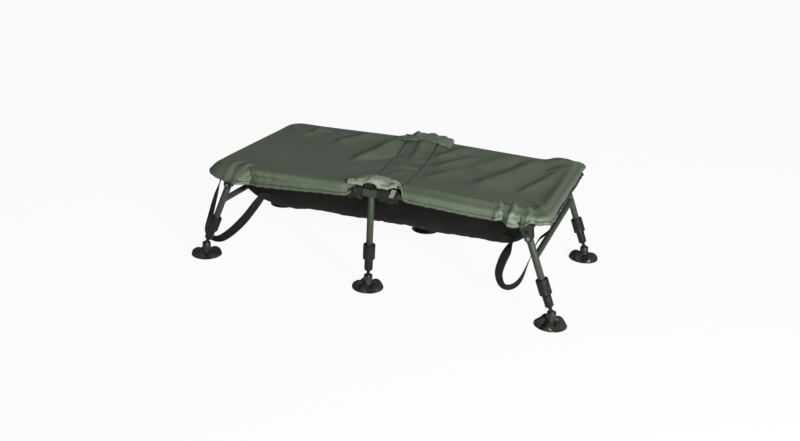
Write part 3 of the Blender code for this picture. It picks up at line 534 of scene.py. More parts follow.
@dataclass(frozen=True)
class Finish:
    """A surface: its colours, gloss and grain, and the record's slot it belongs to."""

    name: str
    slot: str
    colour: Colour
    second: Colour
    roughness: float
    metallic: float = 0.0
    specular: float = 0.5
    sheen: float = 0.0
    mottle_scale: float = 12.0
    detail_scale: float = 90.0
    weave_pitch: float = 0.0
    weave_depth: float = 0.0
    crumple_scale: float = 0.0
    crumple_depth: float = 0.0
    grain_depth: float = 0.0002
    # sewn paints shadow along the seams and stitches the hem
    sewn: bool = False
    webbing: bool = False

    def material(self) -> bpy.types.Material:
        """The finish as a material, made once."""
        found = bpy.data.materials.get(self.name)
        if found:
            return found
        material = bpy.data.materials.new(self.name)
        material.use_nodes = True
        material.diffuse_color = (*self.colour, 1.0)
        wiring = Wiring(material.node_tree)
        place = wiring.add("ShaderNodeTexCoord").outputs
        mottle = wiring.add("ShaderNodeGroup", {
            "Vector": place["Object"], "Scale": self.mottle_scale, "Detail scale": self.detail_scale},
            node_tree=NodeGroups.mottle()).outputs["Value"]
        spread = wiring.add("ShaderNodeMapRange", {"Value": mottle, "From Min": 0.3, "From Max": 0.7})
        colour = wiring.add("ShaderNodeMix", {
            "Factor": spread.outputs["Result"], 6: (*self.colour, 1.0), 7: (*self.second, 1.0)},
            data_type="RGBA").outputs[2]
        rough = wiring.add("ShaderNodeMapRange", {
            "Value": mottle, "To Min": max(self.roughness - 0.07, 0.05),
            "To Max": min(self.roughness + 0.09, 1.0)})
        normal = self._bump(wiring, mottle, self.grain_depth)
        if self.crumple_depth:
            crumple = wiring.add("ShaderNodeGroup", {"Vector": place["Object"], "Scale": self.crumple_scale},
                                 node_tree=NodeGroups.crumple())
            normal = self._bump(wiring, crumple.outputs["Height"], self.crumple_depth, normal)
        if self.weave_pitch:
            weave = wiring.add("ShaderNodeGroup", {
                "Vector": place["UV" if self.webbing else "Object"], "Pitch": self.weave_pitch},
                node_tree=NodeGroups.weave())
            normal = self._bump(wiring, weave.outputs["Height"], self.weave_depth, normal)
            colour = wiring.shade(0.3, colour, weave.outputs["Mask"])
        if self.sewn:
            colour = self._sew(wiring, place["UV"], colour)
        wiring.join(material.node_tree.nodes["Principled BSDF"], {
            "Base Color": colour, "Metallic": self.metallic, "Roughness": rough.outputs["Result"],
            "Specular IOR Level": self.specular, "Sheen Weight": self.sheen, "Sheen Roughness": 0.4,
            "Normal": normal})
        return material

    @staticmethod
    def _sew(wiring: Wiring, flat: Socket, colour: Socket) -> Socket:
        """Paint shadow along the seams and stitch the hem, where the sheet's marks say.

        Args:
            wiring: the material's wiring.
            flat: the UV map, in metres.
            colour: the cloth's colour.

        Returns:
            The colour with its sewing.
        """
        # The first shade is painted shadow along the seams, where their overlapping edges cast shade; the
        # second darkens the hem line; the third darkens the bound edge in a dotted row.
        shades = ((0.08, 0.09, 0.08, 1.0), (0.10, 0.11, 0.10, 1.0), (0.38, 0.40, 0.38, 1.0))
        stitch = 0.0062
        seam, hem, piping = (wiring.add("ShaderNodeAttribute", attribute_name=label).outputs["Fac"]
                             for label in ("seam", "hem", "piping"))
        along = wiring.add("ShaderNodeSeparateXYZ", {0: flat}).outputs["X"]
        wave = wiring.math("SINE", wiring.math("MULTIPLY", along, TURN / stitch))
        level = wiring.add("ShaderNodeMapRange", {"Value": wave, "From Min": -1.0, "To Min": 0.35})
        knots = wiring.math("MULTIPLY", level.outputs["Result"], piping)
        for factor, shade in zip((seam, hem, knots), shades):
            colour = wiring.shade(factor, colour, shade)
        return colour

    @staticmethod
    def _bump(wiring: Wiring, height: Socket, depth: float, before: Socket | None = None) -> Socket:
        """Add one bump after another and return its normal."""
        bump = wiring.add("ShaderNodeBump", {"Height": height, "Strength": 1.0, "Distance": depth})
        if before is not None:
            wiring.join(bump, {"Normal": before})
        return bump.outputs["Normal"]

    def dress(self, *pieces: Piece) -> None:
        """Give pieces this finish alone."""
        for piece in pieces:
            piece.data.materials.clear()
            piece.data.materials.append(self.material())


COVER_CLOTH = Finish(
    "olive_coated_cloth", "cover_cloth", (0.112, 0.145, 0.095), (0.136, 0.175, 0.117), 0.42,
    specular=0.40, mottle_scale=6.0, detail_scale=70.0, weave_pitch=0.0011, weave_depth=0.00008,
    crumple_scale=17.0, crumple_depth=0.0016, sewn=True)
FLAP_CLOTH = Finish(
    "pale_cloth_reverse", "cover_cloth", (0.250, 0.290, 0.218), (0.345, 0.392, 0.302), 0.72,
    specular=0.25, sheen=0.1, mottle_scale=34.0, weave_pitch=0.0011, weave_depth=0.00008,
    crumple_scale=55.0, crumple_depth=0.0022)
# The cover's olive cloth painted lighter: painted light on the back roll, which faces up and to the front.
ROLL_CLOTH_PAINTED_LIGHTER = Finish(
    "olive_cloth_roll", "cover_cloth", (0.135, 0.172, 0.116), (0.178, 0.222, 0.155), 0.5,
    specular=0.4, sheen=0.05, mottle_scale=14.0, weave_pitch=0.0011, weave_depth=0.00008,
    crumple_scale=40.0, crumple_depth=0.0022)
TROUGH_CLOTH = Finish(
    "black_coated_cloth", "trough_cloth", (0.0060, 0.0065, 0.0050), (0.0100, 0.0106, 0.0086), 0.6,
    specular=0.12, mottle_scale=7.0, weave_pitch=0.0012, weave_depth=0.0001,
    crumple_scale=11.0, crumple_depth=0.0048)
LINING_CLOTH = Finish(
    "black_lining_cloth", "trough_cloth", (0.0060, 0.0065, 0.0055), (0.026, 0.029, 0.024), 0.6,
    specular=0.3, mottle_scale=60.0, detail_scale=220.0, weave_pitch=0.0012, weave_depth=0.0001,
    crumple_scale=60.0, crumple_depth=0.0025)
FOAM_CLOTH = Finish(
    "quilted_pad_cloth", "foam", (0.03, 0.034, 0.028), (0.045, 0.05, 0.04), 0.8,
    weave_pitch=0.0012, weave_depth=0.0001)
WEBBING = Finish(
    "black_webbing", "webbing", (0.0055, 0.0055, 0.0052), (0.010, 0.010, 0.009), 0.66,
    specular=0.3, weave_pitch=0.0016, weave_depth=0.00018, webbing=True)
PALE_WEBBING = Finish(
    "pale_webbing", "webbing", (0.21, 0.24, 0.19), (0.28, 0.31, 0.25), 0.7,
    specular=0.3, weave_pitch=0.0012, weave_depth=0.00015, webbing=True)
TUBE_PAINT = Finish(
    "dark_olive_paint", "tube_paint", (0.036, 0.045, 0.032), (0.047, 0.058, 0.042), 0.46,
    specular=0.22, mottle_scale=25.0, detail_scale=400.0, grain_depth=0.00008)
BRACKET_PAINT = Finish(
    "black_green_paint", "tube_paint", (0.016, 0.019, 0.015), (0.024, 0.028, 0.022), 0.46,
    specular=0.25, mottle_scale=25.0, detail_scale=400.0, grain_depth=0.00008)
BLACK_PLASTIC = Finish(
    "black_moulded_plastic", "black_plastic", (0.0085, 0.0098, 0.0074), (0.0130, 0.0146, 0.0114), 0.44,
    specular=0.26, mottle_scale=40.0, detail_scale=600.0, grain_depth=0.00012)
RUBBER = Finish(
    "soft_black_rubber", "black_plastic", (0.0115, 0.0130, 0.0100), (0.019, 0.021, 0.016), 0.34,
    mottle_scale=30.0, detail_scale=500.0, grain_depth=0.00015, crumple_scale=34.0, crumple_depth=0.0034)
STEEL = Finish(
    "dull_steel", "steel", (0.30, 0.30, 0.29), (0.38, 0.38, 0.37), 0.38, metallic=1.0,
    mottle_scale=60.0, detail_scale=700.0, grain_depth=0.00005)
BLACKENED = Finish(
    "blackened_steel", "steel", (0.030, 0.031, 0.029), (0.045, 0.046, 0.043), 0.45, metallic=0.8,
    mottle_scale=60.0, detail_scale=700.0, grain_depth=0.00005)
BRIGHT = Finish(
    "bright_tube", "black_plastic", (0.60, 0.61, 0.60), (0.68, 0.69, 0.68), 0.3, metallic=1.0,
    mottle_scale=60.0, detail_scale=700.0, grain_depth=0.00003)
NYLON = Finish("black_nylon", "nylon", (0.02, 0.02, 0.02), (0.03, 0.03, 0.03), 0.55, mottle_scale=60.0)


# Cloth

CREST_LEAST = 0.0008        # least roundness of a crease's crest
CREST_SHARE = 0.15          # how much rounder it gets with the crease's spread
CREST_FALL = 1.25           # how steeply a crease falls
CREASE_RISE = 4.0           # how soon it is full from its first end
CREASE_DROP = 3.0           # how late it fades towards its last end
CREASE_TAIL = 0.25          # what is left of it at its last end
HOLLOW = 0.28               # depth of the hollow beside it, as a part of its height
HOLLOW_REACH = 2.3          # reach of the hollow, as a part of its spread
PLEAT_FALL = 1.15           # how steeply a pleat falls


@dataclass(frozen=True)
class Crease:
    """A ridge in the cloth along a line: its height, and its spread to either hand."""

    line: Profile
    height: float
    left: float
    right: float

    def lift(self, x: np.ndarray, y: np.ndarray) -> np.ndarray:
        """Height that the crease adds at plan points.

        Args:
            x: plan places along the cradle.
            y: plan places across it.

        Returns:
            The added height.
        """
        points = np.array(self.line)
        lengths = np.linalg.norm(np.diff(points, axis=0), axis=1)
        total, before = lengths.sum(), 0.0
        best = np.full(x.shape, 1e9)
        side, share = np.zeros(x.shape), np.zeros(x.shape)
        for (ax, ay), (bx, by), length in zip(points, points[1:], lengths):
            dx, dy = (bx - ax) / length, (by - ay) / length
            along = np.clip((x - ax) * dx + (y - ay) * dy, 0.0, length)
            off = np.hypot(x - ax - along * dx, y - ay - along * dy)
            nearer = off < best
            best = np.where(nearer, off, best)
            side = np.where(nearer, (x - ax) * dy - (y - ay) * dx, side)
            share = np.where(nearer, (before + along) / total, share)
            before += length
        width = np.where(side > 0.0, self.right, self.left)
        blunt = CREST_LEAST + CREST_SHARE * width
        crest = np.hypot(best, blunt) - blunt
        shape = np.exp(-(crest / width) ** CREST_FALL) - HOLLOW * np.exp(-(best / width / HOLLOW_REACH) ** 2)
        rise = self.height * shape * ease(share * CREASE_RISE)
        return rise * ease((1.0 - share) * CREASE_DROP + CREASE_TAIL)


@dataclass(frozen=True)
class Pleat:
    """A gather in the skirt of the long side: its place, how far it stands out, its spread to either hand."""

    place: float
    push: float
    left: float
    right: float

    def stand(self, x: np.ndarray, spread: float) -> np.ndarray:
        """How far the cloth stands out because of this pleat.

        Args:
            x: places along the cradle.
            spread: part of the pleat's width, which grows towards the hem.

        Returns:
            The distances.
        """
        width = np.where(x < self.place, self.left, self.right) * spread
        return self.push * np.exp(-(np.abs(x - self.place) / width) ** PLEAT_FALL)


# The main folds, read from the photograph: their courses in plan, their heights and their spreads
CREASES = tuple(Crease(*fold) for fold in (
    (((-0.292, 0.090), (-0.235, 0.187), (-0.200, 0.262)), 0.0165, 0.011, 0.030),
    (((-0.165, -0.060), (-0.140, 0.030), (-0.121, 0.100), (-0.105, 0.235)), 0.0205, 0.012, 0.034),
    (((-0.150, -0.040), (-0.098, 0.020), (-0.062, 0.060), (-0.046, 0.135)), -0.0070, 0.018, 0.012),
    (((-0.415, 0.115), (-0.387, 0.203), (-0.399, 0.262)), 0.0110, 0.008, 0.018),
    (((-0.340, 0.225), (-0.387, 0.200), (-0.440, 0.235)), 0.0060, 0.010, 0.018),
    (((-0.505, 0.235), (-0.462, 0.179), (-0.400, 0.140)), 0.0100, 0.009, 0.020),
    (((-0.300, 0.262), (-0.300, 0.200), (-0.330, 0.150)), 0.0040, 0.012, 0.022),
    (((-0.497, -0.200), (-0.380, -0.090), (-0.230, 0.010)), 0.0026, 0.030, 0.050),
    (((-0.415, -0.232), (-0.290, -0.205), (-0.120, -0.185)), 0.0026, 0.012, 0.034),
    (((0.245, -0.125), (0.292, -0.020), (0.343, 0.110), (0.392, 0.258)), 0.0185, 0.026, 0.050),
    (((0.352, -0.125), (0.385, -0.045), (0.421, 0.060), (0.438, 0.120)), -0.0030, 0.022, 0.018),
    (((0.380, -0.120), (0.415, -0.020), (0.452, 0.120), (0.478, 0.245)), 0.0125, 0.020, 0.026),
    (((0.300, 0.100), (0.328, 0.232), (0.356, 0.262)), -0.0050, 0.014, 0.018),
    (((0.190, 0.050), (0.250, 0.165), (0.300, 0.255)), 0.0100, 0.026, 0.036),
    (((0.420, 0.120), (0.450, 0.190), (0.440, 0.255)), 0.0060, 0.010, 0.018),
    (((0.085, 0.010), (0.126, 0.085), (0.190, 0.180)), 0.0115, 0.020, 0.030),
    (((0.095, -0.110), (0.136, -0.017), (0.195, 0.070)), 0.0080, 0.022, 0.032),
    (((0.060, 0.110), (0.095, 0.170), (0.140, 0.250)), 0.0095, 0.016, 0.024),
    (((0.405, -0.228), (0.360, -0.190), (0.270, -0.165)), 0.0036, 0.010, 0.024),
    (((0.487, -0.232), (0.462, -0.185), (0.440, -0.150)), 0.0045, 0.012, 0.018),
    (((-0.020, -0.240), (-0.012, -0.150), (0.020, -0.040)), 0.0036, 0.012, 0.022),
    (((0.000, 0.060), (-0.008, 0.140), (-0.020, 0.235)), 0.0090, 0.009, 0.017),
    (((0.005, 0.120), (0.030, 0.140), (0.045, 0.120)), 0.0036, 0.007, 0.010),
    (((-0.034, 0.012), (0.006, -0.012), (0.066, -0.014)), 0.0075, 0.018, 0.006),
    (((-0.016, 0.088), (0.014, 0.052), (0.052, 0.082)), 0.0060, 0.014, 0.008),
))

# Short folds over the front roll at its two corners
TUCKS = tuple(Crease(*fold) for fold in (
    (((-0.432, -0.226), (-0.442, -0.252), (-0.452, -0.275)), 0.0085, 0.005, 0.024),
    (((-0.392, -0.238), (-0.404, -0.258), (-0.414, -0.275)), 0.0090, 0.005, 0.022),
    (((0.366, -0.226), (0.377, -0.252), (0.381, -0.275)), 0.0090, 0.003, 0.010),
    (((0.404, -0.214), (0.412, -0.248), (0.414, -0.275)), 0.0120, 0.008, 0.007),
    (((0.448, -0.208), (0.456, -0.248), (0.462, -0.275)), 0.0085, 0.007, 0.008),
    (((0.466, -0.195), (0.492, -0.222), (0.508, -0.235)), 0.0060, 0.006, 0.008),
))

PLEATS = tuple(Pleat(*fold) for fold in (
    (-0.457, 0.0100, 0.006, 0.018), (-0.426, 0.0150, 0.005, 0.023), (-0.384, -0.0100, 0.010, 0.012),
    (-0.352, 0.0060, 0.022, 0.006), (-0.326, 0.0050, 0.018, 0.006), (-0.296, 0.0040, 0.018, 0.020),
    (-0.170, -0.0010, 0.020, 0.020), (0.369, 0.0090, 0.004, 0.009), (0.389, -0.0080, 0.006, 0.006),
    (0.408, 0.0165, 0.010, 0.011), (0.437, -0.0090, 0.008, 0.006), (0.455, 0.0100, 0.005, 0.008),
    (0.474, -0.0070, 0.006, 0.005),
))

# Heights of the front hem along the cradle: at the left, at the right, and up over the hinge between them
LEFT_HEM: Profile = ((-0.50, 0.276), (-0.44, 0.270), (-0.38, 0.263), (-0.25, 0.269), (-0.150, 0.277))
RIGHT_HEM: Profile = (
    (0.10, 0.2895), (0.183, 0.2875), (0.30, 0.283), (0.362, 0.283), (0.383, 0.2875), (0.398, 0.283),
    (0.420, 0.2745), (0.436, 0.2735), (0.450, 0.280), (0.466, 0.294), (0.480, 0.291))
HINGE_HEM: Profile = (
    (-0.150, 0.277), (-0.112, 0.2795), (-0.096, 0.281), (-0.086, 0.285), (-0.080, 0.292), (-0.075, 0.305),
    (-0.0705, 0.320), (-0.066, 0.331), (0.0695, 0.331), (0.0735, 0.320), (0.0770, 0.305), (0.0810, 0.294),
    (0.100, 0.2895))

# Inner edges of the right half's rolled borders, in plan
FRONT_BORDER: Profile = ((0.080, 0.224), (0.364, 0.241), (0.47, 0.236))
END_BORDER: Profile = ((-0.24, 0.487), (-0.10, 0.487), (0.25, 0.489))


@dataclass
class Cover:
    """Elasticated cover: one sheet over the rails, stretched up over the two hinges."""

    flat: tuple[float, float] = (0.675, 1.150)
    thickness: float = 0.0012
    over_rail: float = 0.0112
    side_gap: float = 0.0034
    sag: float = 0.0075
    tent: float = 0.0100
    tent_reach: float = 0.40
    hump: float = 0.0175
    hump_middle: float = 0.004
    hump_reach: float = 0.066
    hump_spread: float = 0.105
    hump_stretch: float = 1.25
    hump_power: float = 0.6
    cut_left: float = -0.070
    cut_right: float = 0.076
    cut_spread: float = 0.010
    seam_left: float = -0.048
    seam_right: float = 0.058
    seam_columns: tuple[float, ...] = (-0.0030, -0.0012, 0.0012, 0.0030)
    skew: float = 0.115
    skew_reach: float = 0.22
    border_height: float = 0.0125
    border_lip: float = 0.0065
    end_border_height: float = 0.0085
    end_border_lip: float = 0.017
    elbow_height: float = 0.0150
    elbow_at: Pair = (0.446, 0.254)
    elbow_spread: Pair = (0.043, 0.036)
    tip: float = 0.017
    tip_at: Pair = (0.496, 0.245)
    tip_spread: Pair = (0.012, 0.016)
    cape_from: Pair = (-0.372, -0.170)
    cape_fade: Pair = (0.055, 0.060)
    cape_reach: float = 0.0375
    cape_power: float = 1.6
    corner_spread: float = 0.105
    pocket: float = 0.0088
    pocket_middle: float = 0.38
    pocket_spread: float = 0.26
    casing: float = 0.0085
    bead: float = 0.0014
    bead_edge: float = 0.0008
    quiet_reach: float = 0.022
    quiet_least: float = 0.35
    fold_deepest: float = -0.006
    tuck_deepest: float = -0.001
    tremble: float = 0.0013
    tremble_waves: Profile = ((0.19, 0.6), (0.083, 0.4))
    hinge_hem_rise: float = 0.026
    back_hem: float = 0.282
    back_hem_wave: float = 0.003
    left_end_hem: float = 0.277
    right_end_hem: float = 0.287
    end_hem_wave: float = 0.002
    hem_tremble: float = 0.0009
    hem_waves: Profile = ((0.031, 0.6), (0.017, 0.4))
    front_left_reach: float = 0.0052
    gather: float = 0.0008
    left_gather: float = 0.0012
    right_gather: float = 0.0040
    gather_waves: Profile = ((0.034, 0.55), (0.021, 0.45))
    gather_deepest: float = -0.0080
    roll_gather: float = 0.35
    roll_pleat: float = 0.55
    back_left_flare: float = 0.0060
    right_flare: float = 0.0035
    inner_rows: int = 50
    roll_rows: int = 7
    skirt_rows: int = 12
    bend_steps: int = 16
    step: float = 0.0062
    fine_step: float = 0.0029
    fine_left: float = -0.372
    fine_right: float = 0.356
    least_step: float = 0.0006

    def side_columns(self, hand: float, straight: float, spine: float) -> list[tuple[float, ...]]:
        """Columns of the outline along one long side.

        Args:
            hand: the side, by the sign of Y.
            straight: where the straight rail ends.
            spine: where the roots of the columns end.

        Returns:
            Rows of x, y, nx, ny, root x, from the left to the right.
        """
        half = SIZES.half_width
        xs = list(np.arange(-straight, straight + 1e-6, 2.0 * straight / round(2.0 * straight / self.step)))
        for mark in (self.seam_left, self.seam_right):
            xs += [mark + off for off in self.seam_columns]
        for mark in (self.cut_left, self.cut_right):
            xs += list(mark + np.linspace(-self.cut_spread, self.cut_spread, 11))
        if hand < 0.0:
            xs += list(np.arange(-straight, self.fine_left, self.fine_step))
            xs += list(np.arange(self.fine_right, straight, self.fine_step))
        xs = np.array(sorted(xs))
        xs = xs[np.concatenate(([True], np.diff(xs) > self.least_step))]
        skewed = self.skew * ease(1.0 - np.abs(xs) / self.skew_reach)
        roots = np.clip(xs, -spine, spine)
        return [(x - hand * k * half, hand * half, 0.0, hand, r) for x, k, r in zip(xs, skewed, roots)]

    def outline(self) -> np.ndarray:
        """Points round the rail with their normals and inner roots, from the front left.

        Returns:
            Rows of x, y, nx, ny, root x.
        """
        reach, half, radius = SIZES.rail_reach, SIZES.half_width, SIZES.rail_bend
        spine, straight = reach - half, reach - radius
        ends = max(int(2.0 * (half - radius) / self.step), 8)
        shares = np.arange(self.bend_steps + 1) / self.bend_steps
        loop = self.side_columns(-1.0, straight, spine)
        for sign in (1, -1):
            far = sign * (half - radius)
            loop += bend(sign * straight, -far, radius, -sign, shares[1:], sign * spine)
            loop += [(sign * reach, -far + 2.0 * far * k / ends, sign, 0.0, sign * spine)
                     for k in range(1, ends)]
            loop += bend(sign * straight, far, radius, 1 - sign, shares[:-1], sign * spine)
            if sign == 1:
                loop += self.side_columns(1.0, straight, spine)[::-1]
        return np.array(loop)

    def border(self, x: np.ndarray, y: np.ndarray) -> np.ndarray:
        """Rolled borders of the right half: the front one, and the one over the end rail.

        Args:
            x: plan places along the cradle.
            y: plan places across it.

        Returns:
            The height that they add.
        """
        half, reach = SIZES.half_width, SIZES.rail_reach
        fold = -follow(x, FRONT_BORDER)
        inside = np.clip((y - fold) / self.border_lip, 0.0, None)
        across = np.clip((fold - y) / (fold + half), 0.0, 1.0)
        front = np.where(y > fold, np.exp(-inside ** 1.4), 1.0 - across ** 1.1)
        front = self.border_height * front * between(x, 0.070, 0.020, 0.480, 0.035)
        edge = follow(y, END_BORDER)
        within = np.clip((edge - x) / self.end_border_lip, 0.0, None)
        beyond = np.clip((x - edge) / (reach - edge), 0.0, 1.0)
        end = np.where(x < edge, np.exp(-within ** 1.4), 1.0 - 0.8 * beyond ** 1.3)
        return np.maximum(front, self.end_border_height * end * between(y, -0.235, 0.04, 0.268, 0.02))

    def top(self, x: np.ndarray, y: np.ndarray, fine: bool = True) -> np.ndarray:
        """Height of the cover's inner face over plan points.

        Args:
            x: plan places along the cradle.
            y: plan places across it.
            fine: add the folds.

        Returns:
            The heights.
        """
        half, reach = SIZES.half_width, SIZES.rail_reach
        to_side, to_end = half - np.abs(y), reach - np.abs(x)
        inboard = np.clip(1.0 - (y / half) ** 2, 0.0, 1.0) * np.clip(1.0 - (x / reach) ** 2, 0.0, 1.0)
        tent = self.tent * np.clip(1.0 - np.abs(x) / self.tent_reach, 0.0, 1.0) * (np.abs(y) / half) ** 2
        over_hinge = ease(1.0 - np.abs(x - self.hump_middle) / self.hump_reach / self.hump_stretch)
        hump = self.hump * over_hinge ** self.hump_power * ease(1.0 - to_side / self.hump_spread)
        height = SIZES.rail_height + self.over_rail - self.sag * inboard + tent + hump
        if fine:
            quiet = ease(to_side / self.quiet_reach) * ease(to_end / self.quiet_reach)
            quiet = np.maximum(quiet, self.quiet_least * ease(to_side / 0.01 + 0.4))
            lift = sum(crease.lift(x, y) for crease in CREASES)
            lift = lift + self.tremble * inboard * ripple(x * 0.8 + y * 0.6, 1.3, self.tremble_waves)
            height = height + np.maximum(lift * quiet, self.fold_deepest) + self.border(x, y)
            height = height + np.maximum(sum(tuck.lift(x, y) for tuck in TUCKS), self.tuck_deepest)
            height = height + self.elbow_height * spot(x, y, self.elbow_at, self.elbow_spread, 3.0)
        return height

    def over_hinges(self, base: np.ndarray) -> np.ndarray:
        """Say which columns pass over a hinge, where the skirt is cut away."""
        centre = base[:, 5]
        return (centre > self.cut_left) & (centre < self.cut_right) & (np.abs(base[:, 3]) > 0.9)

    def hem(self, base: np.ndarray, along: np.ndarray) -> np.ndarray:
        """Height of the hem at each column.

        Args:
            base: the outline's columns.
            along: length round the outline.

        Returns:
            Hem heights above the ground.
        """
        x, y, nx, centre = base[:, 0], base[:, 1], base[:, 2], base[:, 5]
        front = np.where(x < 0.1, follow(x, LEFT_HEM), follow(x, RIGHT_HEM))
        front = np.where(np.abs(x) > 0.15, front, follow(centre, HINGE_HEM))
        cut = (centre > self.cut_left) & (centre < self.cut_right)
        uncut = self.back_hem + self.back_hem_wave * np.sin(x * 31.0)
        back = np.where(cut, SIZES.rail_height + self.hinge_hem_rise, uncut)
        end = np.where(x > 0, self.right_end_hem, self.left_end_hem) + self.end_hem_wave * np.sin(y * 40.0)
        share = ease(np.abs(nx))
        level = np.where(y < 0, front, back) * (1.0 - share) + end * share
        return level + self.hem_tremble * ripple(along, 0.4, self.hem_waves)

    def skirt(self, base: np.ndarray, along: np.ndarray, cape: np.ndarray
              ) -> tuple[np.ndarray, np.ndarray, np.ndarray, np.ndarray]:
        """How the cloth leaves the rail at each column.

        Args:
            base: the outline's columns.
            along: length round the outline.
            cape: how far each column belongs to the front left corner, which slopes straight to its hem.

        Returns:
            Reach of the roll, squareness of the roll, gathers, and the hem's flare beyond the roll.
        """
        x, y, ny, centre = base[:, 0], base[:, 1], base[:, 3], base[:, 5]
        front_left = ease((-0.078 - centre) / 0.030) * ease((-ny - 0.2) / 0.5)
        side = SIZES.tube + self.side_gap + self.front_left_reach * front_left * (1.0 - cape)
        power = np.where(self.over_hinges(base), 0.4, 0.75 - 0.40 * front_left)
        away = np.hypot(SIZES.rail_reach - np.abs(x), SIZES.half_width - np.abs(y))
        corner = ease(1.0 - away / self.corner_spread)
        wave = ripple(along, 2.1, self.gather_waves)
        gather = (self.gather + np.where(x > 0.0, self.right_gather, self.left_gather) * corner) * wave
        back_left = ease((-0.40 - x) / 0.06) * ease((y - 0.17) / 0.06)
        flare = self.back_left_flare * back_left + self.right_flare * ease((x - 0.36) / 0.06)
        return side, power, gather, flare

    @staticmethod
    def gathered(x: np.ndarray, ny: np.ndarray, spread: float) -> np.ndarray:
        """How far the pleats push the front skirt out, at a part of their width."""
        return sum(pleat.stand(x, spread) for pleat in PLEATS) * (ny < -0.9)

    def grid(self) -> tuple[np.ndarray, dict[str, np.ndarray]]:
        """The cover's points, and the marks that its finish reads."""
        base = self.outline()
        x, y, nx, ny, root = base.T
        level, half = SIZES.rail_height, SIZES.half_width
        centre = np.where(np.abs(ny) > 0.9, x + np.sign(y) * self.skew * half
                          * ease(1.0 - np.abs(root) / self.skew_reach), x)
        base = np.column_stack([base, centre])
        along = np.concatenate([[0.0], np.cumsum(np.hypot(np.diff(x), np.diff(y)))])
        columns = []
        for share in np.linspace(0.0, 1.0, self.inner_rows + 1):
            px, py = root + (x - root) * share, y * share
            columns.append(np.column_stack([px, py, self.top(px, py)]))
        crown = columns[-1][:, 2] - level
        hem = self.hem(base, along) - level
        cape = ease((self.cape_from[0] - x) / self.cape_fade[0])
        cape = cape * ease((self.cape_from[1] - y) / self.cape_fade[1])
        side, power, gather, flare = self.skirt(base, along, cape)
        tip = self.tip * spot(x, y, self.tip_at, self.tip_spread)
        for share in np.arange(1, self.roll_rows + 1) / self.roll_rows:
            angle = QUARTER * share
            out = side * math.sin(angle) * (1.0 - cape) + self.cape_reach * share * cape
            out = out + tip * math.sin(2.0 * angle)
            up = crown * max(math.cos(angle), 0.0) ** power
            up = up * (1.0 - cape) + (crown + (hem + 0.0050 - crown) * share ** self.cape_power) * cape
            pleated = self.gathered(x, ny, 0.40 + 0.30 * share) * share * self.roll_pleat
            push = gather * share * self.roll_gather + pleated
            out = out + push
            columns.append(np.column_stack([x + nx * out, y + ny * out, level + np.maximum(up, hem)]))
        start = columns[-1][:, 2] - level
        low = np.minimum(hem, start - 0.0015)
        over = self.over_hinges(base)
        pocket = self.pocket * between(x, -0.398, 0.012, -0.210, 0.110) * (ny < -0.9)
        for share in (np.arange(1, self.skirt_rows + 1) / self.skirt_rows) ** 0.85:
            z = start + (low - start) * share
            casing = np.clip((z - low) / self.casing, 0.0, 1.0)
            bead = self.bead * np.sin(math.pi * casing) - self.bead_edge * (casing > 0.99)
            bead = np.where(over, 0.0, bead)
            pleated = self.gathered(x, ny, 0.70 + 0.65 * share) * (self.roll_pleat + 0.45 * share)
            push = gather * (self.roll_gather + 0.65 * share) + pleated
            push = np.maximum(push, self.gather_deepest) + flare * share ** 1.2 + bead
            push = push - pocket * bell(share, self.pocket_middle, self.pocket_spread)
            out = side * (1.0 - cape) + self.cape_reach * cape + push
            columns.append(np.column_stack([x + nx * out, y + ny * out, level + z]))
        points = np.stack(columns, axis=1)
        return points, self.marks(points, centre, over)

    def marks(self, points: np.ndarray, centre: np.ndarray, over: np.ndarray) -> dict[str, np.ndarray]:
        """Say where the painted shadow along the seams, the hem's stitching and its bound edge run.

        Args:
            points: the cover's points.
            centre: each column's place along the middle line.
            over: the columns that pass over a hinge.

        Returns:
            Values at the points, for each mark.
        """
        # The seam mark places painted shadow along both seams.
        seam = np.zeros(points.shape[:2])
        for place in (self.seam_left, self.seam_right):
            seam[np.abs(centre - place) < 0.0016, :] = 1.0
        height = points[:, :, 2] - points[:, -1:, 2]
        low = np.arange(points.shape[1])[None, :] > self.inner_rows + self.roll_rows - 2
        sewn = low & ~over[:, None]
        right = points[:, :, 0] > 0.09
        elastic = sewn & (points[:, :, 0] > 0.512) & (points[:, :, 1] > -0.17) & (height < self.casing)
        hem = np.where(elastic, 2.0, np.where(sewn, bell(height, self.casing, 0.0016), 0.0))
        piping = np.where(sewn, np.exp(-(height / np.where(right, 0.0030, 0.0040)) ** 2), 0.0)
        return {"seam": seam, "hem": hem * np.where(right, 0.7, 0.9), "piping": piping}

    def build(self) -> Piece:
        """Make the cover and dress it."""
        points, marks = self.grid()
        piece, area = Bench.sheet("cover_sheet", points, self.thickness, UP, COVER_CLOTH, ring=True,
                                  marks=marks)
        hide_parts("cover_left", "cover_right", "cover_strip")
        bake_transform(piece)
        return piece


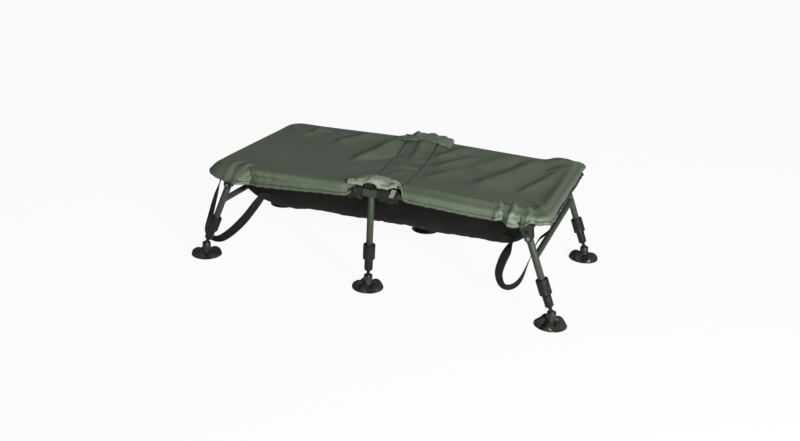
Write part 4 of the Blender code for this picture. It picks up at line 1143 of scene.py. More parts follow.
@dataclass
class FrontFlap:
    """Loose flap of the cloth's pale reverse, turned back over the front hinge."""

    start: float = -0.068
    stop: float = 0.082
    inner: float = 0.213
    thickness: float = 0.0012
    over_share: float = 0.62
    roll_share: float = 0.24
    roundness: float = 0.45
    hem_height: float = 0.3205
    hem_tremble: float = 0.0008
    hem_waves: Profile = ((0.041, 0.6), (0.019, 0.4))
    hem_fall: float = 0.012
    arch: float = 0.0125
    arch_middle: float = 0.001
    arch_reach: float = 0.0215
    second_arch: float = 0.0080
    second_middle: float = 0.074
    second_reach: float = 0.0165
    end_reach: float = 0.018
    inner_slant: float = 0.008
    inner_tremble: float = 0.0024
    inner_waves: Profile = ((0.090, 0.6), (0.043, 0.4))
    inner_corner: float = 0.016
    curl: float = 0.0042
    curl_reach: float = 0.14
    wrinkle: float = 0.0012
    wrinkle_waves: Profile = ((0.052, 0.5), (0.031, 0.4), (0.019, 0.2))
    wrinkle_rise: float = 0.0018
    lift: float = 0.0016
    columns: int = 110
    rows: int = 34

    def build(self, cover: Cover) -> Piece:
        """Make the flap on top of the cover.

        Args:
            cover: the cover that it lies on.

        Returns:
            The flap.
        """
        half, level = SIZES.half_width, SIZES.rail_height
        side = SIZES.tube + cover.side_gap + cover.thickness + 0.0006
        x = np.linspace(self.start, self.stop, self.columns)
        along = (x - self.start) / (self.stop - self.start)
        ends = ease(np.minimum(x - self.start, self.stop - x) / self.end_reach)
        drop = self.hem_height + self.hem_tremble * ripple(x, 0.7, self.hem_waves)
        drop = drop + self.arch * vault(x, self.arch_middle, self.arch_reach)
        drop = drop + self.second_arch * vault(x, self.second_middle, self.second_reach)
        inner = self.inner + self.inner_slant * (1.0 - along)
        inner = inner + self.inner_tremble * ripple(x, 2.2, self.inner_waves)
        inner = inner + self.inner_corner * (1.0 - ends)
        grid = []
        for share in np.arange(self.rows + 1) / self.rows:
            over = min(share / self.over_share, 1.0)
            y = inner + (half - inner) * over
            curl = self.curl * math.exp(-(over / self.curl_reach) ** 2) * (0.8 + 0.2 * np.sin(x * 50.0 + 1.0))
            wrinkle = self.wrinkle * ripple(x + 0.05 * share, 0.9, self.wrinkle_waves)
            wrinkle = wrinkle * (0.7 + 0.5 * math.sin(share * 9.0 + 0.8)) + self.wrinkle_rise
            crown = cover.top(x, -y, fine=False) + cover.thickness
            z = crown + self.lift + curl * (0.2 + 0.8 * ends) + wrinkle
            out = np.zeros_like(x)
            if share > self.over_share:
                angle = QUARTER * min((share - self.over_share) / self.roll_share, 1.0)
                out = side * math.sin(angle) + self.lift + 0.0006 * np.sin(x * 120.0 + share * 9.0)
                z = level + (z - level) * max(math.cos(angle), 0.0) ** self.roundness
                fallen = (share - self.over_share) / (1.0 - self.over_share)
                z = np.maximum(z, drop + self.hem_fall * (1.0 - fallen))
            grid.append(np.column_stack([x, -(y + out), z]))
        piece, area = Bench.sheet("hinge_flap_front", np.stack(grid, axis=1), self.thickness,
                                  (0.0, -0.3, 1.0), FLAP_CLOTH)
        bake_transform(piece)
        return piece


@dataclass
class BackRoll:
    """The same flap at the back hinge, bunched up into a loose roll."""

    start: float = -0.114
    stop: float = 0.082
    thickness: float = 0.0012
    lift: float = 0.0048
    heights: Profile = (
        (-0.114, 0.0010), (-0.098, 0.0028), (-0.075, 0.0036), (-0.056, 0.0045), (-0.042, 0.0060),
        (-0.030, 0.0040), (-0.012, 0.0018), (0.010, 0.0018), (0.030, 0.0032), (0.055, 0.0044),
        (0.082, 0.0046))
    widths: Profile = (
        (-0.114, 0.010), (-0.080, 0.021), (-0.040, 0.028), (-0.010, 0.022), (0.030, 0.026), (0.082, 0.032))
    left_reach: float = 0.030
    right_reach: float = 0.008
    peak_middle: float = -0.042
    peak_spread: float = 0.020
    peak_push: float = 0.0055
    inset: float = 0.022
    rest: float = 0.0026
    slope: float = 0.42
    sweep: float = 1.15
    start_turn: float = 0.05
    crumple: float = 0.32
    crumple_waves: Profile = ((0.058, 0.5), (0.034, 0.45), (0.021, 0.15))
    columns: int = 130
    rows: int = 40

    def build(self, cover: Cover) -> Piece:
        """Make the roll: out from its seam, up over the rail and under itself again.

        Args:
            cover: the cover that it lies on.

        Returns:
            The roll.
        """
        half = SIZES.half_width
        x = np.linspace(self.start, self.stop, self.columns)
        ends = ease(np.minimum((x - self.start) / self.left_reach, (self.stop - x) / self.right_reach))
        peak = np.exp(-(np.hypot(x - self.peak_middle, 0.002) / self.peak_spread) ** 1.4)
        high = follow(x, self.heights) * (0.35 + 0.65 * ends)
        wide = follow(x, self.widths)
        grid = []
        for share in np.arange(self.rows + 1) / self.rows:
            turn = math.pi * (self.sweep * share - self.start_turn)
            rise = math.sin(math.pi * share)
            slant = ripple(x + 0.060 * share, 1.4, self.crumple_waves)
            crumple = 1.0 + self.crumple * slant * rise ** 0.5
            y = half - self.inset - wide * math.cos(turn) * crumple
            base = cover.top(x, np.minimum(y, half), fine=False) + cover.thickness + self.rest
            z = np.where(y > half, base - self.slope * np.maximum(y - half, 0.0), base)
            if 0.0 < turn < math.pi:
                z = np.maximum(z, base + 2.0 * high * math.sin(turn) ** 0.7 * crumple)
            z = z + self.lift * math.exp(-(share / 0.17) ** 2) * (0.6 + 0.4 * slant) * ends
            y = y + (self.peak_push * peak + 0.003 * slant) * rise
            grid.append(np.column_stack([x + 0.004 * math.sin(5.0 * share) * (1.0 - ends), y, z]))
        # The roll is dressed in the cover's cloth painted lighter, as painted light.
        piece, area = Bench.sheet("hinge_flap_back", np.stack(grid, axis=1), self.thickness, UP, ROLL_CLOTH_PAINTED_LIGHTER)
        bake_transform(piece)
        return piece


@dataclass
class RailSleeve:
    """Crumpled black lining wrapped round a rail beside a hinge."""

    side: Side
    end: End
    near: float = 0.0246
    far: float = 0.0860
    tucked: float = 0.0660
    tucked_radius: float = 0.0146
    radius: float = 0.0138
    thickness: float = 0.0010
    start_angle: float = -42.0
    sweep: float = 172.0
    wrap_share: float = 0.72
    end_reach: float = 0.010
    crumple: float = 0.0017
    crumple_waves: Profile = ((0.030, 0.5), (0.017, 0.4), (0.044, 0.3))
    lift: float = 0.0018
    crown: float = 1.12
    hem: float = 0.012
    hem_tremble: float = 0.0022
    hem_waves: Profile = ((0.034, 0.6), (0.019, 0.4))
    hem_tuck: float = 0.003
    hem_lean: float = 0.0016
    columns: int = 56
    rows: int = 44

    def build(self) -> Piece:
        """Wrap the lining over the rail, from inside its top to a loose hem outside and below it."""
        sign, hand = self.side.value, self.end.value
        x = np.linspace(self.near, self.far, self.columns)
        ends = ease(np.minimum(x - self.near, self.far - x) / self.end_reach)
        seed = 1.3 * sign + 2.1 * hand
        grid = []
        for share in np.arange(self.rows + 1) / self.rows:
            turn = math.radians(self.start_angle + self.sweep * min(share / self.wrap_share, 1.0))
            slant = ripple(x + 0.030 * share, seed, self.crumple_waves)
            knead = 0.6 + 0.4 * math.sin(7.0 * share + seed)
            reach = self.radius + self.lift + self.crumple * slant * knead * (0.3 + 0.7 * ends)
            reach = np.where(x > self.tucked, np.minimum(reach, self.tucked_radius), reach)
            y = SIZES.half_width + reach * math.sin(turn)
            z = SIZES.rail_height + reach * math.cos(turn) * (self.crown if math.cos(turn) > 0.0 else 1.0)
            if share > self.wrap_share:
                fall = (share - self.wrap_share) / (1.0 - self.wrap_share)
                z = z - fall * (self.hem + self.hem_tremble * ripple(x, seed + 1.0, self.hem_waves))
                y = y - self.hem_tuck * fall + self.hem_lean * fall * slant
            grid.append(np.column_stack([hand * x, sign * y, z]))
        piece, area = Bench.sheet(f"hinge_lining_{self.side.label}_{self.end.label}", np.stack(grid, axis=1),
                                  self.thickness, (0.0, sign, 0.4), LINING_CLOTH)
        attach(piece, f"{self.end.label}_half")
        f"rail_{self.end.label}"
        return piece


@dataclass
class Trough:
    """Cloth trough hung in one half of the frame."""

    end: End
    flat: tuple[float, float] = (0.66, 0.60)
    thickness: float = 0.0013
    gap: float = 0.0008
    tuck: float = 0.005
    least_drop: float = 0.010
    rim_rise: float = 0.002
    rim_bulge: float = 0.0012
    middle: float = 0.0004
    near_reach: float = 0.12
    slack: float = 0.0022
    near_slack: float = 0.0050
    near_bulge: float = 0.0035
    slack_waves: Profile = ((0.052, 0.5), (0.031, 0.3), (0.097, 0.4))
    leaf_gap: float = 0.0042
    leaf_reach: float = 0.055
    end_bulge: float = 0.0080
    crumple: float = 0.0034
    crumple_waves: Profile = ((0.21, 0.6), (0.11, 0.3), (0.064, 0.25))
    belly: float = 0.0095
    belly_at: Pair = (0.300, -0.120)
    belly_spread: Pair = (0.065, 0.090)
    bend_steps: int = 8
    rows: int = 34
    step: float = 0.008

    @property
    def half(self) -> float:
        """The trough's edge from the middle, across."""
        return SIZES.half_width - SIZES.tube - self.gap

    def outline(self) -> np.ndarray:
        """Plan path just inside the rail, with normals and roots, from front to back of the fold."""
        reach = SIZES.rail_reach - SIZES.tube - self.gap
        half, radius = self.half, SIZES.rail_bend - SIZES.tube - self.gap
        spine, straight = reach - half, reach - radius
        xs = np.linspace(self.middle, straight, int(straight / self.step))
        ys = np.linspace(radius - half, half - radius, int(2.0 * (half - radius) / self.step))
        shares = np.arange(self.bend_steps + 1) / self.bend_steps
        loop = [(x, -half, 0.0, -1.0, min(x, spine)) for x in xs]
        loop += bend(straight, radius - half, radius, -1, shares[1:], spine)
        loop += [(reach, y, 1.0, 0.0, spine) for y in ys[1:-1]]
        loop += bend(straight, half - radius, radius, 0, shares[:-1], spine)
        loop += [(x, half, 0.0, 1.0, min(x, spine)) for x in xs[::-1]]
        return np.array(loop)

    def build(self) -> Piece:
        """Make one half of the trough and dress it."""
        sign, level = self.end.value, SIZES.rail_height
        x, y, nx, ny, root = self.outline().T
        along = np.concatenate([[0.0], np.cumsum(np.hypot(np.diff(x), np.diff(y)))]) * sign
        near = ease(1.0 - x / self.near_reach)
        slack = self.slack + self.near_slack * near
        wave = ripple(along, 0.8 + sign, self.slack_waves)
        clear = self.leaf_gap * ease(1.0 - x / self.leaf_reach)
        grid = []
        for share in np.arange(self.rows + 1) / self.rows:
            reach = share * (1.0 - self.tuck / self.half)
            drop = max(SIZES.trough_depth * (1.0 - share ** SIZES.trough_power), self.least_drop)
            px, py = root + (x - root) * reach, y * reach
            hang = math.sin(math.pi * share) ** 1.2
            push = slack * wave * hang + self.near_bulge * near * hang * np.abs(ny)
            if self.end is End.LEFT:
                push = push + self.end_bulge * hang * ease(x / 0.40 - 0.6)
            px, py = px + nx * push, py + ny * push
            crumple = self.crumple * hang * ripple(px * sign * 0.7 + py, 1.1, self.crumple_waves)
            z = level - drop - crumple
            if self.end is End.LEFT:
                z = z - self.belly * spot(px, py, self.belly_at, self.belly_spread)
            grid.append(np.column_stack([sign * np.maximum(px, self.middle), py, z]))
        rim = np.column_stack([sign * np.maximum(x - nx * clear, self.middle), y - ny * clear,
                               np.full_like(x, level + self.rim_rise)])
        middle = (grid[-1] + rim) / 2.0 + np.column_stack([sign * nx, ny, np.zeros_like(nx)]) * self.rim_bulge
        grid += [middle, rim]
        piece, area = Bench.sheet(f"trough_sheet_{self.end.label}", np.stack(grid, axis=1), self.thickness,
                                  UP, TROUGH_CLOTH)
        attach(piece, f"{self.end.label}_half")
        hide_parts(f"trough_{self.end.label}")
        f"{self.end.label}_leg_fold"
        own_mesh(piece)
        f"rail_{self.end.label}"
        return piece


@dataclass
class Pad:
    """Foam pad in a cloth sleeve that lies in one half of the trough, under the cover."""

    end: End
    start: float = 0.034
    stop: float = 0.372
    half: float = 0.136
    thickness: float = 0.022
    gap: float = 0.0003
    clear: float = 0.0052
    edge: float = 0.014
    quilt: float = 0.006

    def floor(self, x: float, y: float) -> float:
        """Height of the trough's floor, where the pad lies, under a plan point."""
        trough_half = SIZES.half_width - SIZES.tube - self.gap
        spine = SIZES.rail_reach - SIZES.tube - self.gap - trough_half
        share = max(abs(y), x - spine, 0.0) / trough_half
        drop = SIZES.trough_depth * (1.0 - share ** SIZES.trough_power)
        return SIZES.rail_height - drop + self.clear

    def build(self) -> Piece:
        """Make the pad: a grid that follows the trough, quilted and crowned."""
        sign = self.end.value
        Bench.clear()
        middle = (self.start + self.stop) / 2.0
        bpy.ops.mesh.primitive_grid_add(x_subdivisions=60, y_subdivisions=48, size=1.0)
        piece = bpy.context.object
        piece.name = f"foam_pad_sheet_{self.end.label}"
        piece.scale = (self.stop - self.start, 2.0 * self.half, 1.0)
        piece.location = (sign * middle, 0.0, 0.0)
        Bench.settle()
        for vertex in piece.data.vertices:
            vertex.co.z = self.floor(abs(vertex.co.x), vertex.co.y)
        Bench.wall(piece, self.thickness, 1.0)
        for vertex in piece.data.vertices:
            x, y = vertex.co.x * sign, vertex.co.y
            round_off = float(ease(min(x - self.start, self.stop - x, self.half - abs(y)) / self.edge))
            seam = min(abs(y), abs(x - middle))
            floor = self.floor(x, y)
            above = vertex.co.z - floor
            dip = self.quilt * math.exp(-(seam / self.quilt) ** 2) if above > 0.008 else 0.0
            vertex.co.z = floor + above * (0.35 + 0.65 * round_off) - dip
        Bench.smooth(piece, 60.0)
        FOAM_CLOTH.dress(piece)
        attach(piece, f"{self.end.label}_half")
        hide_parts(f"foam_pad_{self.end.label}")
        f"{self.end.label}_leg_fold"
        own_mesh(piece)
        LOG.info("%s made", piece.name)
        return piece


def spline(points: Sequence[Point], count: int) -> np.ndarray:
    """Even steps along a Catmull-Rom curve through points.

    Args:
        points: the curve's points.
        count: number of steps.

    Returns:
        The curve's points.
    """
    knots = np.array(points, dtype=float)
    knots = np.vstack([2.0 * knots[0] - knots[1], knots, 2.0 * knots[-1] - knots[-2]])
    fine = []
    for p0, p1, p2, p3 in zip(knots, knots[1:], knots[2:], knots[3:]):
        for t in np.linspace(0.0, 1.0, 24, endpoint=False):
            fine.append(0.5 * (2.0 * p1 + (p2 - p0) * t + (2.0 * p0 - 5.0 * p1 + 4.0 * p2 - p3) * t * t
                               + (3.0 * p1 - p0 - 3.0 * p2 + p3) * t ** 3))
    fine = np.array([*fine, knots[-2]])
    length = np.concatenate([[0.0], np.cumsum(np.linalg.norm(np.diff(fine, axis=0), axis=1))])
    even = np.linspace(0.0, length[-1], count + 1)
    return np.column_stack([np.interp(even, length, fine[:, k]) for k in range(3)])


def unit(rows: np.ndarray) -> np.ndarray:
    """Rows of vectors brought to length 1."""
    return rows / np.linalg.norm(rows, axis=1)[:, None]


@dataclass
class CarryStrap:
    """Webbing loop from the end rail to the trough: its route, and its lean in degrees along the way.

    It starts flat across the cradle. Its far end turns to lie on the trough, from seat_from on.
    """

    end: End
    route: tuple[Point, ...]
    leans: Profile
    seat_from: float
    seat_to: float = 0.93
    seat_slope: Point = (0.0, 0.643, -0.766)
    width: float = 0.028
    thickness: float = 0.0018
    edge: float = 0.0008
    steps: int = 110

    def section(self) -> Profile:
        """Points round the webbing, across it and through it."""
        half, thick = self.width / 2.0, self.thickness / 2.0
        across = (half - self.edge, half * 0.5, 0.0, -half * 0.5, -half + self.edge)
        return ((-half, 0.0), *((a, -thick) for a in across[::-1]),
                (half, 0.0), *((a, thick) for a in across))

    def build(self) -> Piece:
        """Sweep the webbing's section along its route, leaning as it hangs, and dress it."""
        path = spline(self.route, self.steps)
        shares = np.linspace(0.0, 1.0, len(path))
        ahead = unit(np.gradient(path, axis=0))
        turn = ease((shares - self.seat_from) / (self.seat_to - self.seat_from))[:, None]
        across = np.array([0.0, 1.0, 0.0]) * (1.0 - turn) + np.array(self.seat_slope) * turn
        across = unit(across - ahead * np.sum(across * ahead, axis=1)[:, None])
        out = np.cross(ahead, across)
        lean = np.radians(follow(shares, self.leans))
        lean = np.convolve(np.pad(lean, 6, mode="edge"), np.full(13, 1.0 / 13.0), mode="valid")[:, None]
        across, out = across * np.cos(lean) + out * np.sin(lean), out * np.cos(lean) - across * np.sin(lean)
        section = self.section()
        points = np.stack([path + across * a + out * b for a, b in section], axis=1)
        count, sides = points.shape[:2]
        faces = []
        for i in range(0, (count - 1) * sides, sides):
            for k in range(sides):
                j = (k + 1) % sides
                faces.append((i + k, i + sides + k, i + sides + j, i + j))
        faces += [tuple(range(sides)), tuple(range(count * sides - 1, (count - 1) * sides - 1, -1))]
        length = np.concatenate([[0.0], np.cumsum(np.linalg.norm(np.diff(path, axis=0), axis=1))])
        flat = np.array([(a, far) for far in length for a, _ in section])
        piece = Bench.knit(f"carry_loop_{self.end.label}", points, faces, flat)
        Bench.edit(piece)
        Bench.turn_out()
        Bench.smooth(piece, 50.0)
        WEBBING.dress(piece)
        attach(piece, f"{self.end.label}_half")
        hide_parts(f"carry_strap_{self.end.label}")
        LOG.info("%s: %.3f m of webbing", piece.name, length[-1])
        return piece


LEFT_LOOP = CarryStrap(
    End.LEFT,
    ((-0.5138, -0.213, 0.300), (-0.5138, -0.213, 0.286), (-0.5142, -0.213, 0.272), (-0.5245, -0.213, 0.232),
     (-0.544, -0.213, 0.176), (-0.564, -0.213, 0.108), (-0.577, -0.213, 0.058), (-0.566, -0.213, 0.0375),
     (-0.532, -0.213, 0.0375), (-0.4895, -0.213, 0.069), (-0.442, -0.213, 0.120), (-0.399, -0.209, 0.180),
     (-0.384, -0.2015, 0.2020), (-0.369, -0.1985, 0.2075), (-0.354, -0.1985, 0.2075)),
    ((0.0, 0.0), (0.08, 0.0), (0.18, -44.0), (0.32, -60.0), (0.50, -66.0), (0.78, -62.0), (0.90, -20.0),
     (0.96, 0.0), (1.0, 0.0)),
    seat_from=0.78)
RIGHT_LOOP = CarryStrap(
    End.RIGHT,
    ((0.5138, -0.213, 0.300), (0.5138, -0.213, 0.286), (0.5140, -0.213, 0.272), (0.505, -0.213, 0.252),
     (0.482, -0.213, 0.2235), (0.466, -0.213, 0.172), (0.444, -0.213, 0.099), (0.420, -0.213, 0.0690),
     (0.394, -0.213, 0.068), (0.3800, -0.213, 0.100), (0.3860, -0.212, 0.140), (0.3990, -0.207, 0.1780),
     (0.4040, -0.1995, 0.2020), (0.3930, -0.1980, 0.2080), (0.3780, -0.1980, 0.2080)),
    ((0.0, 0.0), (0.30, -6.0), (0.44, 8.0), (0.54, 44.0), (0.62, 66.0), (0.88, 70.0), (0.94, 20.0),
     (0.97, 0.0), (1.0, 0.0)),
    seat_from=0.86)


@dataclass
class HingeTab:
    """Short tab of pale webbing sewn to the right cover beside the front hinge."""

    middle: float = 0.0725
    width: float = 0.014
    top: float = 0.3225
    bottom: float = 0.3000
    out: float = 0.0206
    thickness: float = 0.0014

    def build(self) -> Piece:
        """Bend the tab over the lining and dress it."""
        x = np.linspace(self.middle - self.width / 2.0, self.middle + self.width / 2.0, 9)
        grid = []
        for share in np.linspace(0.0, 1.0, 16):
            y = SIZES.half_width + self.out - 0.0035 * (1.0 - share) ** 2 + 0.0012 * math.sin(9.0 * share)
            z = self.top + (self.bottom - self.top) * share + 0.0004 * np.sin(x * 900.0)
            grid.append(np.column_stack([x + 0.003 - 0.008 * share, np.full_like(x, -y), z]))
        piece, _ = Bench.sheet("hinge_tab_front", np.stack(grid, axis=1), self.thickness, (0.0, -1.0, 0.2),
                               PALE_WEBBING)
        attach(piece, "right_half")
        return piece


# Legs and feet


def tube(name: str, radius: float, low: float, high: float, sides: int) -> Piece:
    """Turn a plain tube with the frame's wall."""
    bore = radius - SIZES.wall
    return Bench.turned(name, [(bore, low), (radius, low), (radius, high), (bore, high)], sides, closed=True)


def groove(radius: float, low: float, depth: float, slope: float, flat: float) -> list[tuple[float, float]]:
    """Rings of a groove round a turned piece, upwards from its lower edge."""
    return [(radius, low), (radius - depth, low + slope), (radius - depth, low + slope + flat),
            (radius, low + 2.0 * slope + flat)]


@dataclass
class Leg:
    """One telescopic leg with its collar, lower leg and foot."""

    side: Side
    end: End
    collar_radius: float = 0.018
    collar_length: float = 0.0465
    stem_radius: float = 0.0125
    stem_top: float = 0.0545
    ball_radius: float = 0.0095
    inner_radius: float = 0.0084
    inner_top: float = 0.205
    foot_radius: float = 0.047
    hub_radius: float = 0.0138
    hub_top: float = 0.0411
    socket_radius: float = 0.0101
    lobes: int = 5
    lobe_share: float = 0.25
    lobe_depth: float = 0.0112
    lobe_pinch: float = 0.070
    lobe_swell: float = 0.0018
    disc_top: float = 0.0215

    @property
    def label(self) -> str:
        """The leg's ending in node and body names."""
        return f"{self.side.label}_{self.end.label}"

    @property
    def ball(self) -> Vector:
        """Centre of the ball joint."""
        return Vector((self.end.value * SIZES.half_length, self.side.value * SIZES.half_width,
                       SIZES.ball_height))

    @property
    def axes(self) -> Matrix:
        """From the leg's own axis to the cradle."""
        return Matrix.Translation(self.ball) @ Matrix.Rotation(-self.end.value * SIZES.splay, 4, "Y")

    @property
    def shown(self) -> float:
        """How much bright tube shows under the collar."""
        return 0.0025 if self.end is End.RIGHT else 0.0006

    @property
    def holder(self) -> str:
        """The body that carries the leg's upper tube."""
        return "left_half" if self.end is End.CENTRE else f"{self.end.label}_leg_frame"

    def upper(self) -> Piece:
        """Outer tube, with a rolled lower lip."""
        low = self.stem_top + self.shown + 0.0096
        if self.end is End.CENTRE:
            high = SIZES.rail_height - SIZES.tube - 0.0026 - SIZES.ball_height
        else:
            high = SIZES.pivot_rise + 0.010
        r, bore = SIZES.tube, SIZES.tube - SIZES.wall
        piece = Bench.turned(f"leg_tube_{self.label}", [
            (bore, low), (r - 0.0003, low), (r, low + 0.0004), (r, high - 0.0006), (r - 0.0004, high),
            (bore, high)], closed=True)
        TUBE_PAINT.dress(Bench.place(piece, self.axes))
        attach(piece, self.holder)
        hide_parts(f"upper_leg_{self.label}")
        return piece

    def collar(self) -> Piece:
        """Twist collar: a sleeve with a bead at the top, a waist band and grip flats."""
        low = self.stem_top + self.shown
        high = low + self.collar_length
        r = self.collar_radius
        mouth, shoulder, cavity, lip = 0.0088, SIZES.tube + 0.0003, 0.0124, 0.003
        piece = Bench.turned(f"collar_{self.label}", [
            (mouth, low), (r - 0.0024, low), (r - 0.0008, low + 0.0008), (r, low + 0.0026),
            *groove(r, low + 0.0300, 0.0009, 0.0008, 0.0014),
            (r, high - 0.0062), (r - 0.0010, high - 0.0054), (r - 0.0010, high - 0.0046),
            (r - 0.0002, high - 0.0040), (r - 0.0004, high - 0.0012), (r - 0.0018, high), (shoulder, high),
            (shoulder, high - lip), (cavity, high - lip), (cavity, low + lip), (mouth, low + lip)],
            48, closed=True)
        Bench.pick_faces(piece, lambda co: low + 0.004 < co.z < low + 0.029
                         and math.hypot(co.x, co.y) > r - 0.0006
                         and abs(math.atan2(co.y, co.x)) % (math.pi / 3.0) < 0.20)
        bpy.ops.mesh.inset(thickness=0.0008, depth=-0.0005)
        bpy.ops.object.mode_set(mode="OBJECT")
        BLACK_PLASTIC.dress(Bench.place(piece, self.axes, 35.0))
        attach(piece, f"collar_{self.label}")
        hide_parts(f"twist_collar_{self.label}")
        return piece

    def lower(self) -> Piece:
        """Moulded stem with its neck and ball."""
        r, top = self.stem_radius, self.stem_top
        angles = -QUARTER + (QUARTER + 1.02) * np.arange(1, 9) / 8.0
        piece = Bench.turned(f"stem_{self.label}", [
            (0.0004, -self.ball_radius),
            *((self.ball_radius * math.cos(angle), self.ball_radius * math.sin(angle)) for angle in angles),
            (0.0050, 0.0100), (0.0052, 0.0160), (0.0078, 0.0180), (0.0112, 0.0205), (r, 0.0225),
            *groove(r, 0.0340, 0.0006, 0.0006, 0.0012),
            (r, top - 0.0012), (r - 0.0010, top), (self.inner_radius, top)])
        BLACK_PLASTIC.dress(Bench.place(piece, self.axes, 35.0))
        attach(piece, f"lower_leg_{self.label}")
        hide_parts(f"lower_leg_{self.label}")
        return piece

    def inner(self) -> Piece:
        """Bright inner tube."""
        r = self.inner_radius
        piece = tube(f"inner_tube_{self.label}", r, self.stem_top + 0.0002, self.inner_top, 32)
        BRIGHT.dress(Bench.place(piece, self.axes))
        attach(piece, f"lower_leg_{self.label}")
        return piece

    def foot_rings(self) -> list[tuple[float, float]]:
        """Rings of the foot before its lobes are drawn up: rim, disc, hub and socket."""
        radius, hub = self.foot_radius, self.hub_radius
        rings = [(radius - 0.0110, 0.0022), (radius - 0.0088, 0.0004), (radius - 0.0080, 0.0),
                 (radius - 0.0012, 0.0), (radius, 0.0010), (radius, 0.0044), (radius - 0.0016, 0.0078)]
        rings += [(hub + (radius - hub) * share, height) for share, height in (
            (0.84, 0.0125), (0.68, 0.0165), (0.50, 0.0195), (0.32, 0.0208), (0.16, 0.0200))]
        rings += [(hub + 0.0006, 0.0188), (hub - 0.0002, 0.0200), (hub - 0.0008, 0.0390),
                  (hub - 0.0014, 0.0405), (hub - 0.0030, self.hub_top), (0.0092, self.hub_top)]
        for angle in np.radians((12.0, -10.0, -35.0, -60.0, -80.0)):
            rings.append((self.socket_radius * math.cos(angle),
                          SIZES.ball_height + self.socket_radius * math.sin(angle)))
        return rings

    def foot(self) -> Piece:
        """Mud foot: a disc drawn up into five lobes round a socket hub."""
        piece = Bench.turned(f"foot_{self.label}", self.foot_rings(), 80)
        front = QUARTER * self.side.value
        for vertex in piece.data.vertices:
            x, y, z = vertex.co
            reach = math.hypot(x, y)
            if z < 0.0005 or reach < self.hub_radius + 0.0001 or z > self.disc_top:
                continue
            angle = (math.atan2(y, x) - front) / TURN * self.lobes
            off = abs(angle - round(angle)) * 2.0
            crease = max(off - self.lobe_share, 0.0) / (1.0 - self.lobe_share)
            depth = self.lobe_depth * crease ** 1.3 * ease((z - 0.0006) / 0.009)
            pinch = self.lobe_pinch * crease ** 2 * ease((reach - 0.02) / 0.02) * ease((z - 0.0012) / 0.003)
            pinch = 1.0 - pinch
            swell = self.lobe_swell * math.cos(TURN * off) * ease((reach - 0.022) / 0.012) * (z > 0.006)
            vertex.co = (x * pinch, y * pinch, z - depth + swell)
        RUBBER.dress(Bench.place(piece, Matrix.Translation((self.ball.x, self.ball.y, 0.0)), 50.0))
        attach(piece, f"foot_{self.label}")
        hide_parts(f"mud_foot_{self.label}")
        return piece

    def build(self) -> None:
        """Make the whole leg."""
        for make in (self.upper, self.collar, self.lower, self.inner, self.foot):
            LOG.info("%s made", make().name)


@dataclass
class Crossbar:
    """Tube between the two legs of one end, coped at both."""

    end: End
    bite: float = 0.0058
    gap: float = 0.0003

    def build(self) -> Piece:
        """Make the bar."""
        rise, lean = SIZES.crossbar_rise, -self.end.value * SIZES.splay
        x = self.end.value * (SIZES.half_length - rise * math.sin(SIZES.splay))
        z = SIZES.ball_height + rise * math.cos(SIZES.splay)
        length = SIZES.half_width - self.bite
        piece = tube(f"crossbar_{self.end.label}", SIZES.crossbar, -length, length, 48)
        for vertex in piece.data.vertices:
            cope = math.sqrt(max((SIZES.tube + self.gap) ** 2 - vertex.co.y ** 2, 0.0))
            vertex.co.z = math.copysign(SIZES.half_width - cope, vertex.co.z)
        across = Matrix.Rotation(QUARTER, 4, "X") @ Matrix.Rotation(QUARTER, 4, "Z")
        Bench.place(piece, Matrix.Translation((x, 0.0, z)) @ Matrix.Rotation(lean, 4, "Y") @ across)
        TUBE_PAINT.dress(piece)
        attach(piece, f"{self.end.label}_leg_frame")
        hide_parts(f"leg_crossbar_{self.end.label}")
        LOG.info("%s made", piece.name)
        return piece


@dataclass
class Rail:
    """One U-bent rail."""

    end: End
    start: float = 0.0103
    bend_steps: int = 10

    def build(self) -> Piece:
        """Extrude a circle along the front, spin it round two bends and home along the back."""
        sign = self.end.value
        Bench.clear()
        radius, half, level = SIZES.rail_bend, SIZES.half_width, SIZES.rail_height
        straight = SIZES.rail_reach - radius
        bpy.ops.mesh.primitive_circle_add(vertices=32, radius=SIZES.tube, rotation=(0.0, QUARTER, 0.0),
                                          location=(sign * self.start, -half, level))
        piece = bpy.context.object
        piece.name = f"rail_tube_{self.end.label}"
        Bench.settle()
        Bench.edit(piece)
        run = sign * (straight - self.start)
        for step, y in (((run, 0.0, 0.0), radius - half), ((0.0, 2.0 * (half - radius), 0.0), half - radius)):
            bpy.ops.mesh.extrude_region_move(TRANSFORM_OT_translate={"value": step})
            bpy.ops.mesh.spin(steps=self.bend_steps, angle=-sign * QUARTER, axis=UP,
                              center=(sign * straight, y, level))
        bpy.ops.mesh.extrude_region_move(TRANSFORM_OT_translate={"value": (-run, 0.0, 0.0)})
        bpy.ops.mesh.select_all(action="SELECT")
        bpy.ops.mesh.remove_doubles(threshold=0.00001)
        Bench.turn_out()
        Bench.wall(piece, SIZES.wall, -1.0)
        Bench.smooth(piece)
        TUBE_PAINT.dress(piece)
        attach(piece, f"{self.end.label}_half")
        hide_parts(f"rail_{self.end.label}")
        LOG.info("%s made", piece.name)
        return piece


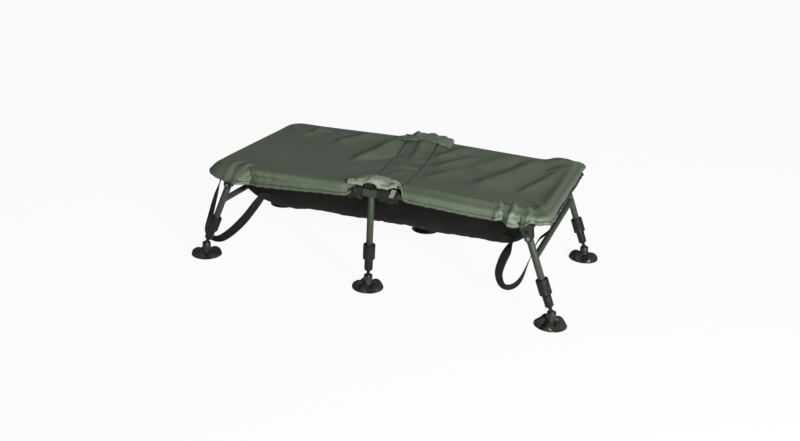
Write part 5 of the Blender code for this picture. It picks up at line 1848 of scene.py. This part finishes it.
class Metalwork:
    """Solids of the model whose shape is right: their edges are rounded and they are dressed."""

    # The start of the nodes' names, their finish, and the width of their rounded edges
    KINDS = (("hinge_saddle_", TUBE_PAINT, 0.0004), ("leg_bracket_", BRACKET_PAINT, 0.0004),
             ("hinge_leaf_", BLACK_PLASTIC, 0.0004), ("hinge_pin_", BLACKENED, 0.0003),
             ("leg_rivet_", STEEL, 0.0003), ("clamp_bush_", NYLON, 0.0))

    @staticmethod
    def dress() -> None:
        """Give each remaining solid its finish and soft edges."""
        for start, finish, width in Metalwork.KINDS:
            for node in (node for name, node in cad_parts.items() if name.startswith(start)):
                finish.dress(node)
                node.modifiers.new("weld", "WELD").merge_threshold = 0.00001
                if width:
                    bevel = node.modifiers.new("edges", "BEVEL")
                    bevel.width = width
                    bevel.segments = 2
                    bevel.limit_method = "ANGLE"
                    bevel.angle_limit = math.radians(35.0)
        LOG.info("metalwork dressed")


# Studio


@dataclass
class Studio:
    """Pale floor, soft light and the camera."""

    focal_px: float = 912.3
    width_px: float = 800.0
    sensor: float = 36.0
    azimuth: float = 19.50
    elevation: float = 20.96
    roll: float = 3.01
    distance: float = 2.822
    target: Point = (0.0223, -0.0686, 0.15)
    aim: Point = (0.0, 0.0, 0.2)
    floor_size: float = 30.0
    floor_glow: float = 0.94
    mirror_share: float = 0.2
    daylight: float = 0.10

    def camera(self) -> None:
        """Stand the camera where the photograph was taken from."""
        a, e, r = (math.radians(v) for v in (self.azimuth, self.elevation, self.roll))
        back = Vector((math.sin(a) * math.cos(e), -math.cos(a) * math.cos(e), math.sin(e)))
        right = Vector(UP).cross(back).normalized()
        up = back.cross(right)
        right, up = right * math.cos(r) + up * math.sin(r), up * math.cos(r) - right * math.sin(r)
        data = bpy.data.cameras.new("camera")
        data.sensor_width = self.sensor
        data.lens = self.focal_px / self.width_px * self.sensor
        camera = bpy.data.objects.new("camera", data)
        bpy.context.collection.objects.link(camera)
        turn = Matrix((right, up, back)).transposed().to_4x4()
        camera.matrix_world = Matrix.Translation(Vector(self.target) + back * self.distance) @ turn
        bpy.context.scene.camera = camera

    def lamp(self, name: str, where: Point, size: float, power: float) -> None:
        """Add one soft square lamp that faces the cradle.

        Args:
            name: the lamp's name.
            where: its place.
            size: side of its square.
            power: its power in watts.
        """
        data = bpy.data.lights.new(name, "AREA")
        data.size = size
        data.energy = power
        lamp = bpy.data.objects.new(name, data)
        bpy.context.collection.objects.link(lamp)
        lamp.location = where
        lamp.rotation_euler = (Vector(self.aim) - Vector(where)).to_track_quat("-Z", "Y").to_euler()

    def seen(self, wiring: Wiring) -> Socket:
        """Say whether the camera sees a surface, straight or through glass; a mirror sees a part of it."""
        path = wiring.add("ShaderNodeLightPath").outputs
        mirrored = wiring.math("MULTIPLY", path["Is Glossy Ray"], self.mirror_share)
        clear = wiring.math("MAXIMUM", path["Is Transmission Ray"], mirrored)
        return wiring.math("MAXIMUM", path["Is Camera Ray"], clear)

    def floor(self) -> None:
        """Lay a white floor that keeps the cradle's shadow."""
        Bench.clear()
        bpy.ops.mesh.primitive_plane_add(size=self.floor_size, location=(0.0, 0.0, -0.0004))
        floor = bpy.context.object
        floor.name = "studio_floor"
        material = bpy.data.materials.new("studio_floor")
        material.use_nodes = True
        wiring, nodes = Wiring(material.node_tree), material.node_tree.nodes
        shader = wiring.join(nodes["Principled BSDF"], {
            "Base Color": (0.80, 0.80, 0.80, 1.0), "Roughness": 0.9, "Specular IOR Level": 0.1})
        glow = wiring.add("ShaderNodeEmission", {"Color": WHITE})
        mix = wiring.add("ShaderNodeMixShader", {
            "Fac": wiring.math("MULTIPLY", self.seen(wiring), self.floor_glow),
            1: shader.outputs[0], 2: glow.outputs[0]})
        wiring.join(nodes["Material Output"], {"Surface": mix.outputs[0]})
        floor.data.materials.append(material)

    def sky(self) -> None:
        """Give the world a plain grey light that the camera sees as white."""
        world = bpy.data.worlds.new("studio")
        bpy.context.scene.world = world
        world.use_nodes = True
        wiring, nodes = Wiring(world.node_tree), world.node_tree.nodes
        light = wiring.join(nodes["Background"], {"Color": WHITE, "Strength": self.daylight})
        white = wiring.add("ShaderNodeBackground", {"Color": WHITE, "Strength": 1.0})
        mix = wiring.add("ShaderNodeMixShader", {
            "Fac": self.seen(wiring), 1: light.outputs[0], 2: white.outputs[0]})
        wiring.join(nodes["World Output"], {"Surface": mix.outputs[0]})

    def build(self) -> None:
        """Set the whole studio."""
        bpy.context.scene.view_settings.view_transform = "Standard"
        self.camera()
        self.sky()
        self.floor()
        self.lamp("key", where=(2.75, -2.50, 1.46), size=0.72, power=184.0)
        self.lamp("fill", where=(0.50, -2.60, 0.75), size=0.9, power=4.5)
        LOG.info("studio set")


def main() -> None:
    """Build and dress every piece."""
    Studio().build()
    cover = Cover()
    cover.build()
    FrontFlap().build(cover)
    BackRoll().build(cover)
    for side in Side:
        for end in (End.LEFT, End.RIGHT):
            RailSleeve(side, end).build()
    for end in (End.LEFT, End.RIGHT):
        for piece in (Trough, Pad, Rail, Crossbar):
            piece(end).build()
    LEFT_LOOP.build()
    RIGHT_LOOP.build()
    HingeTab().build()
    for side in Side:
        for end in End:
            Leg(side, end).build()
    Metalwork.dress()


if __name__ == "__main__":
    main()
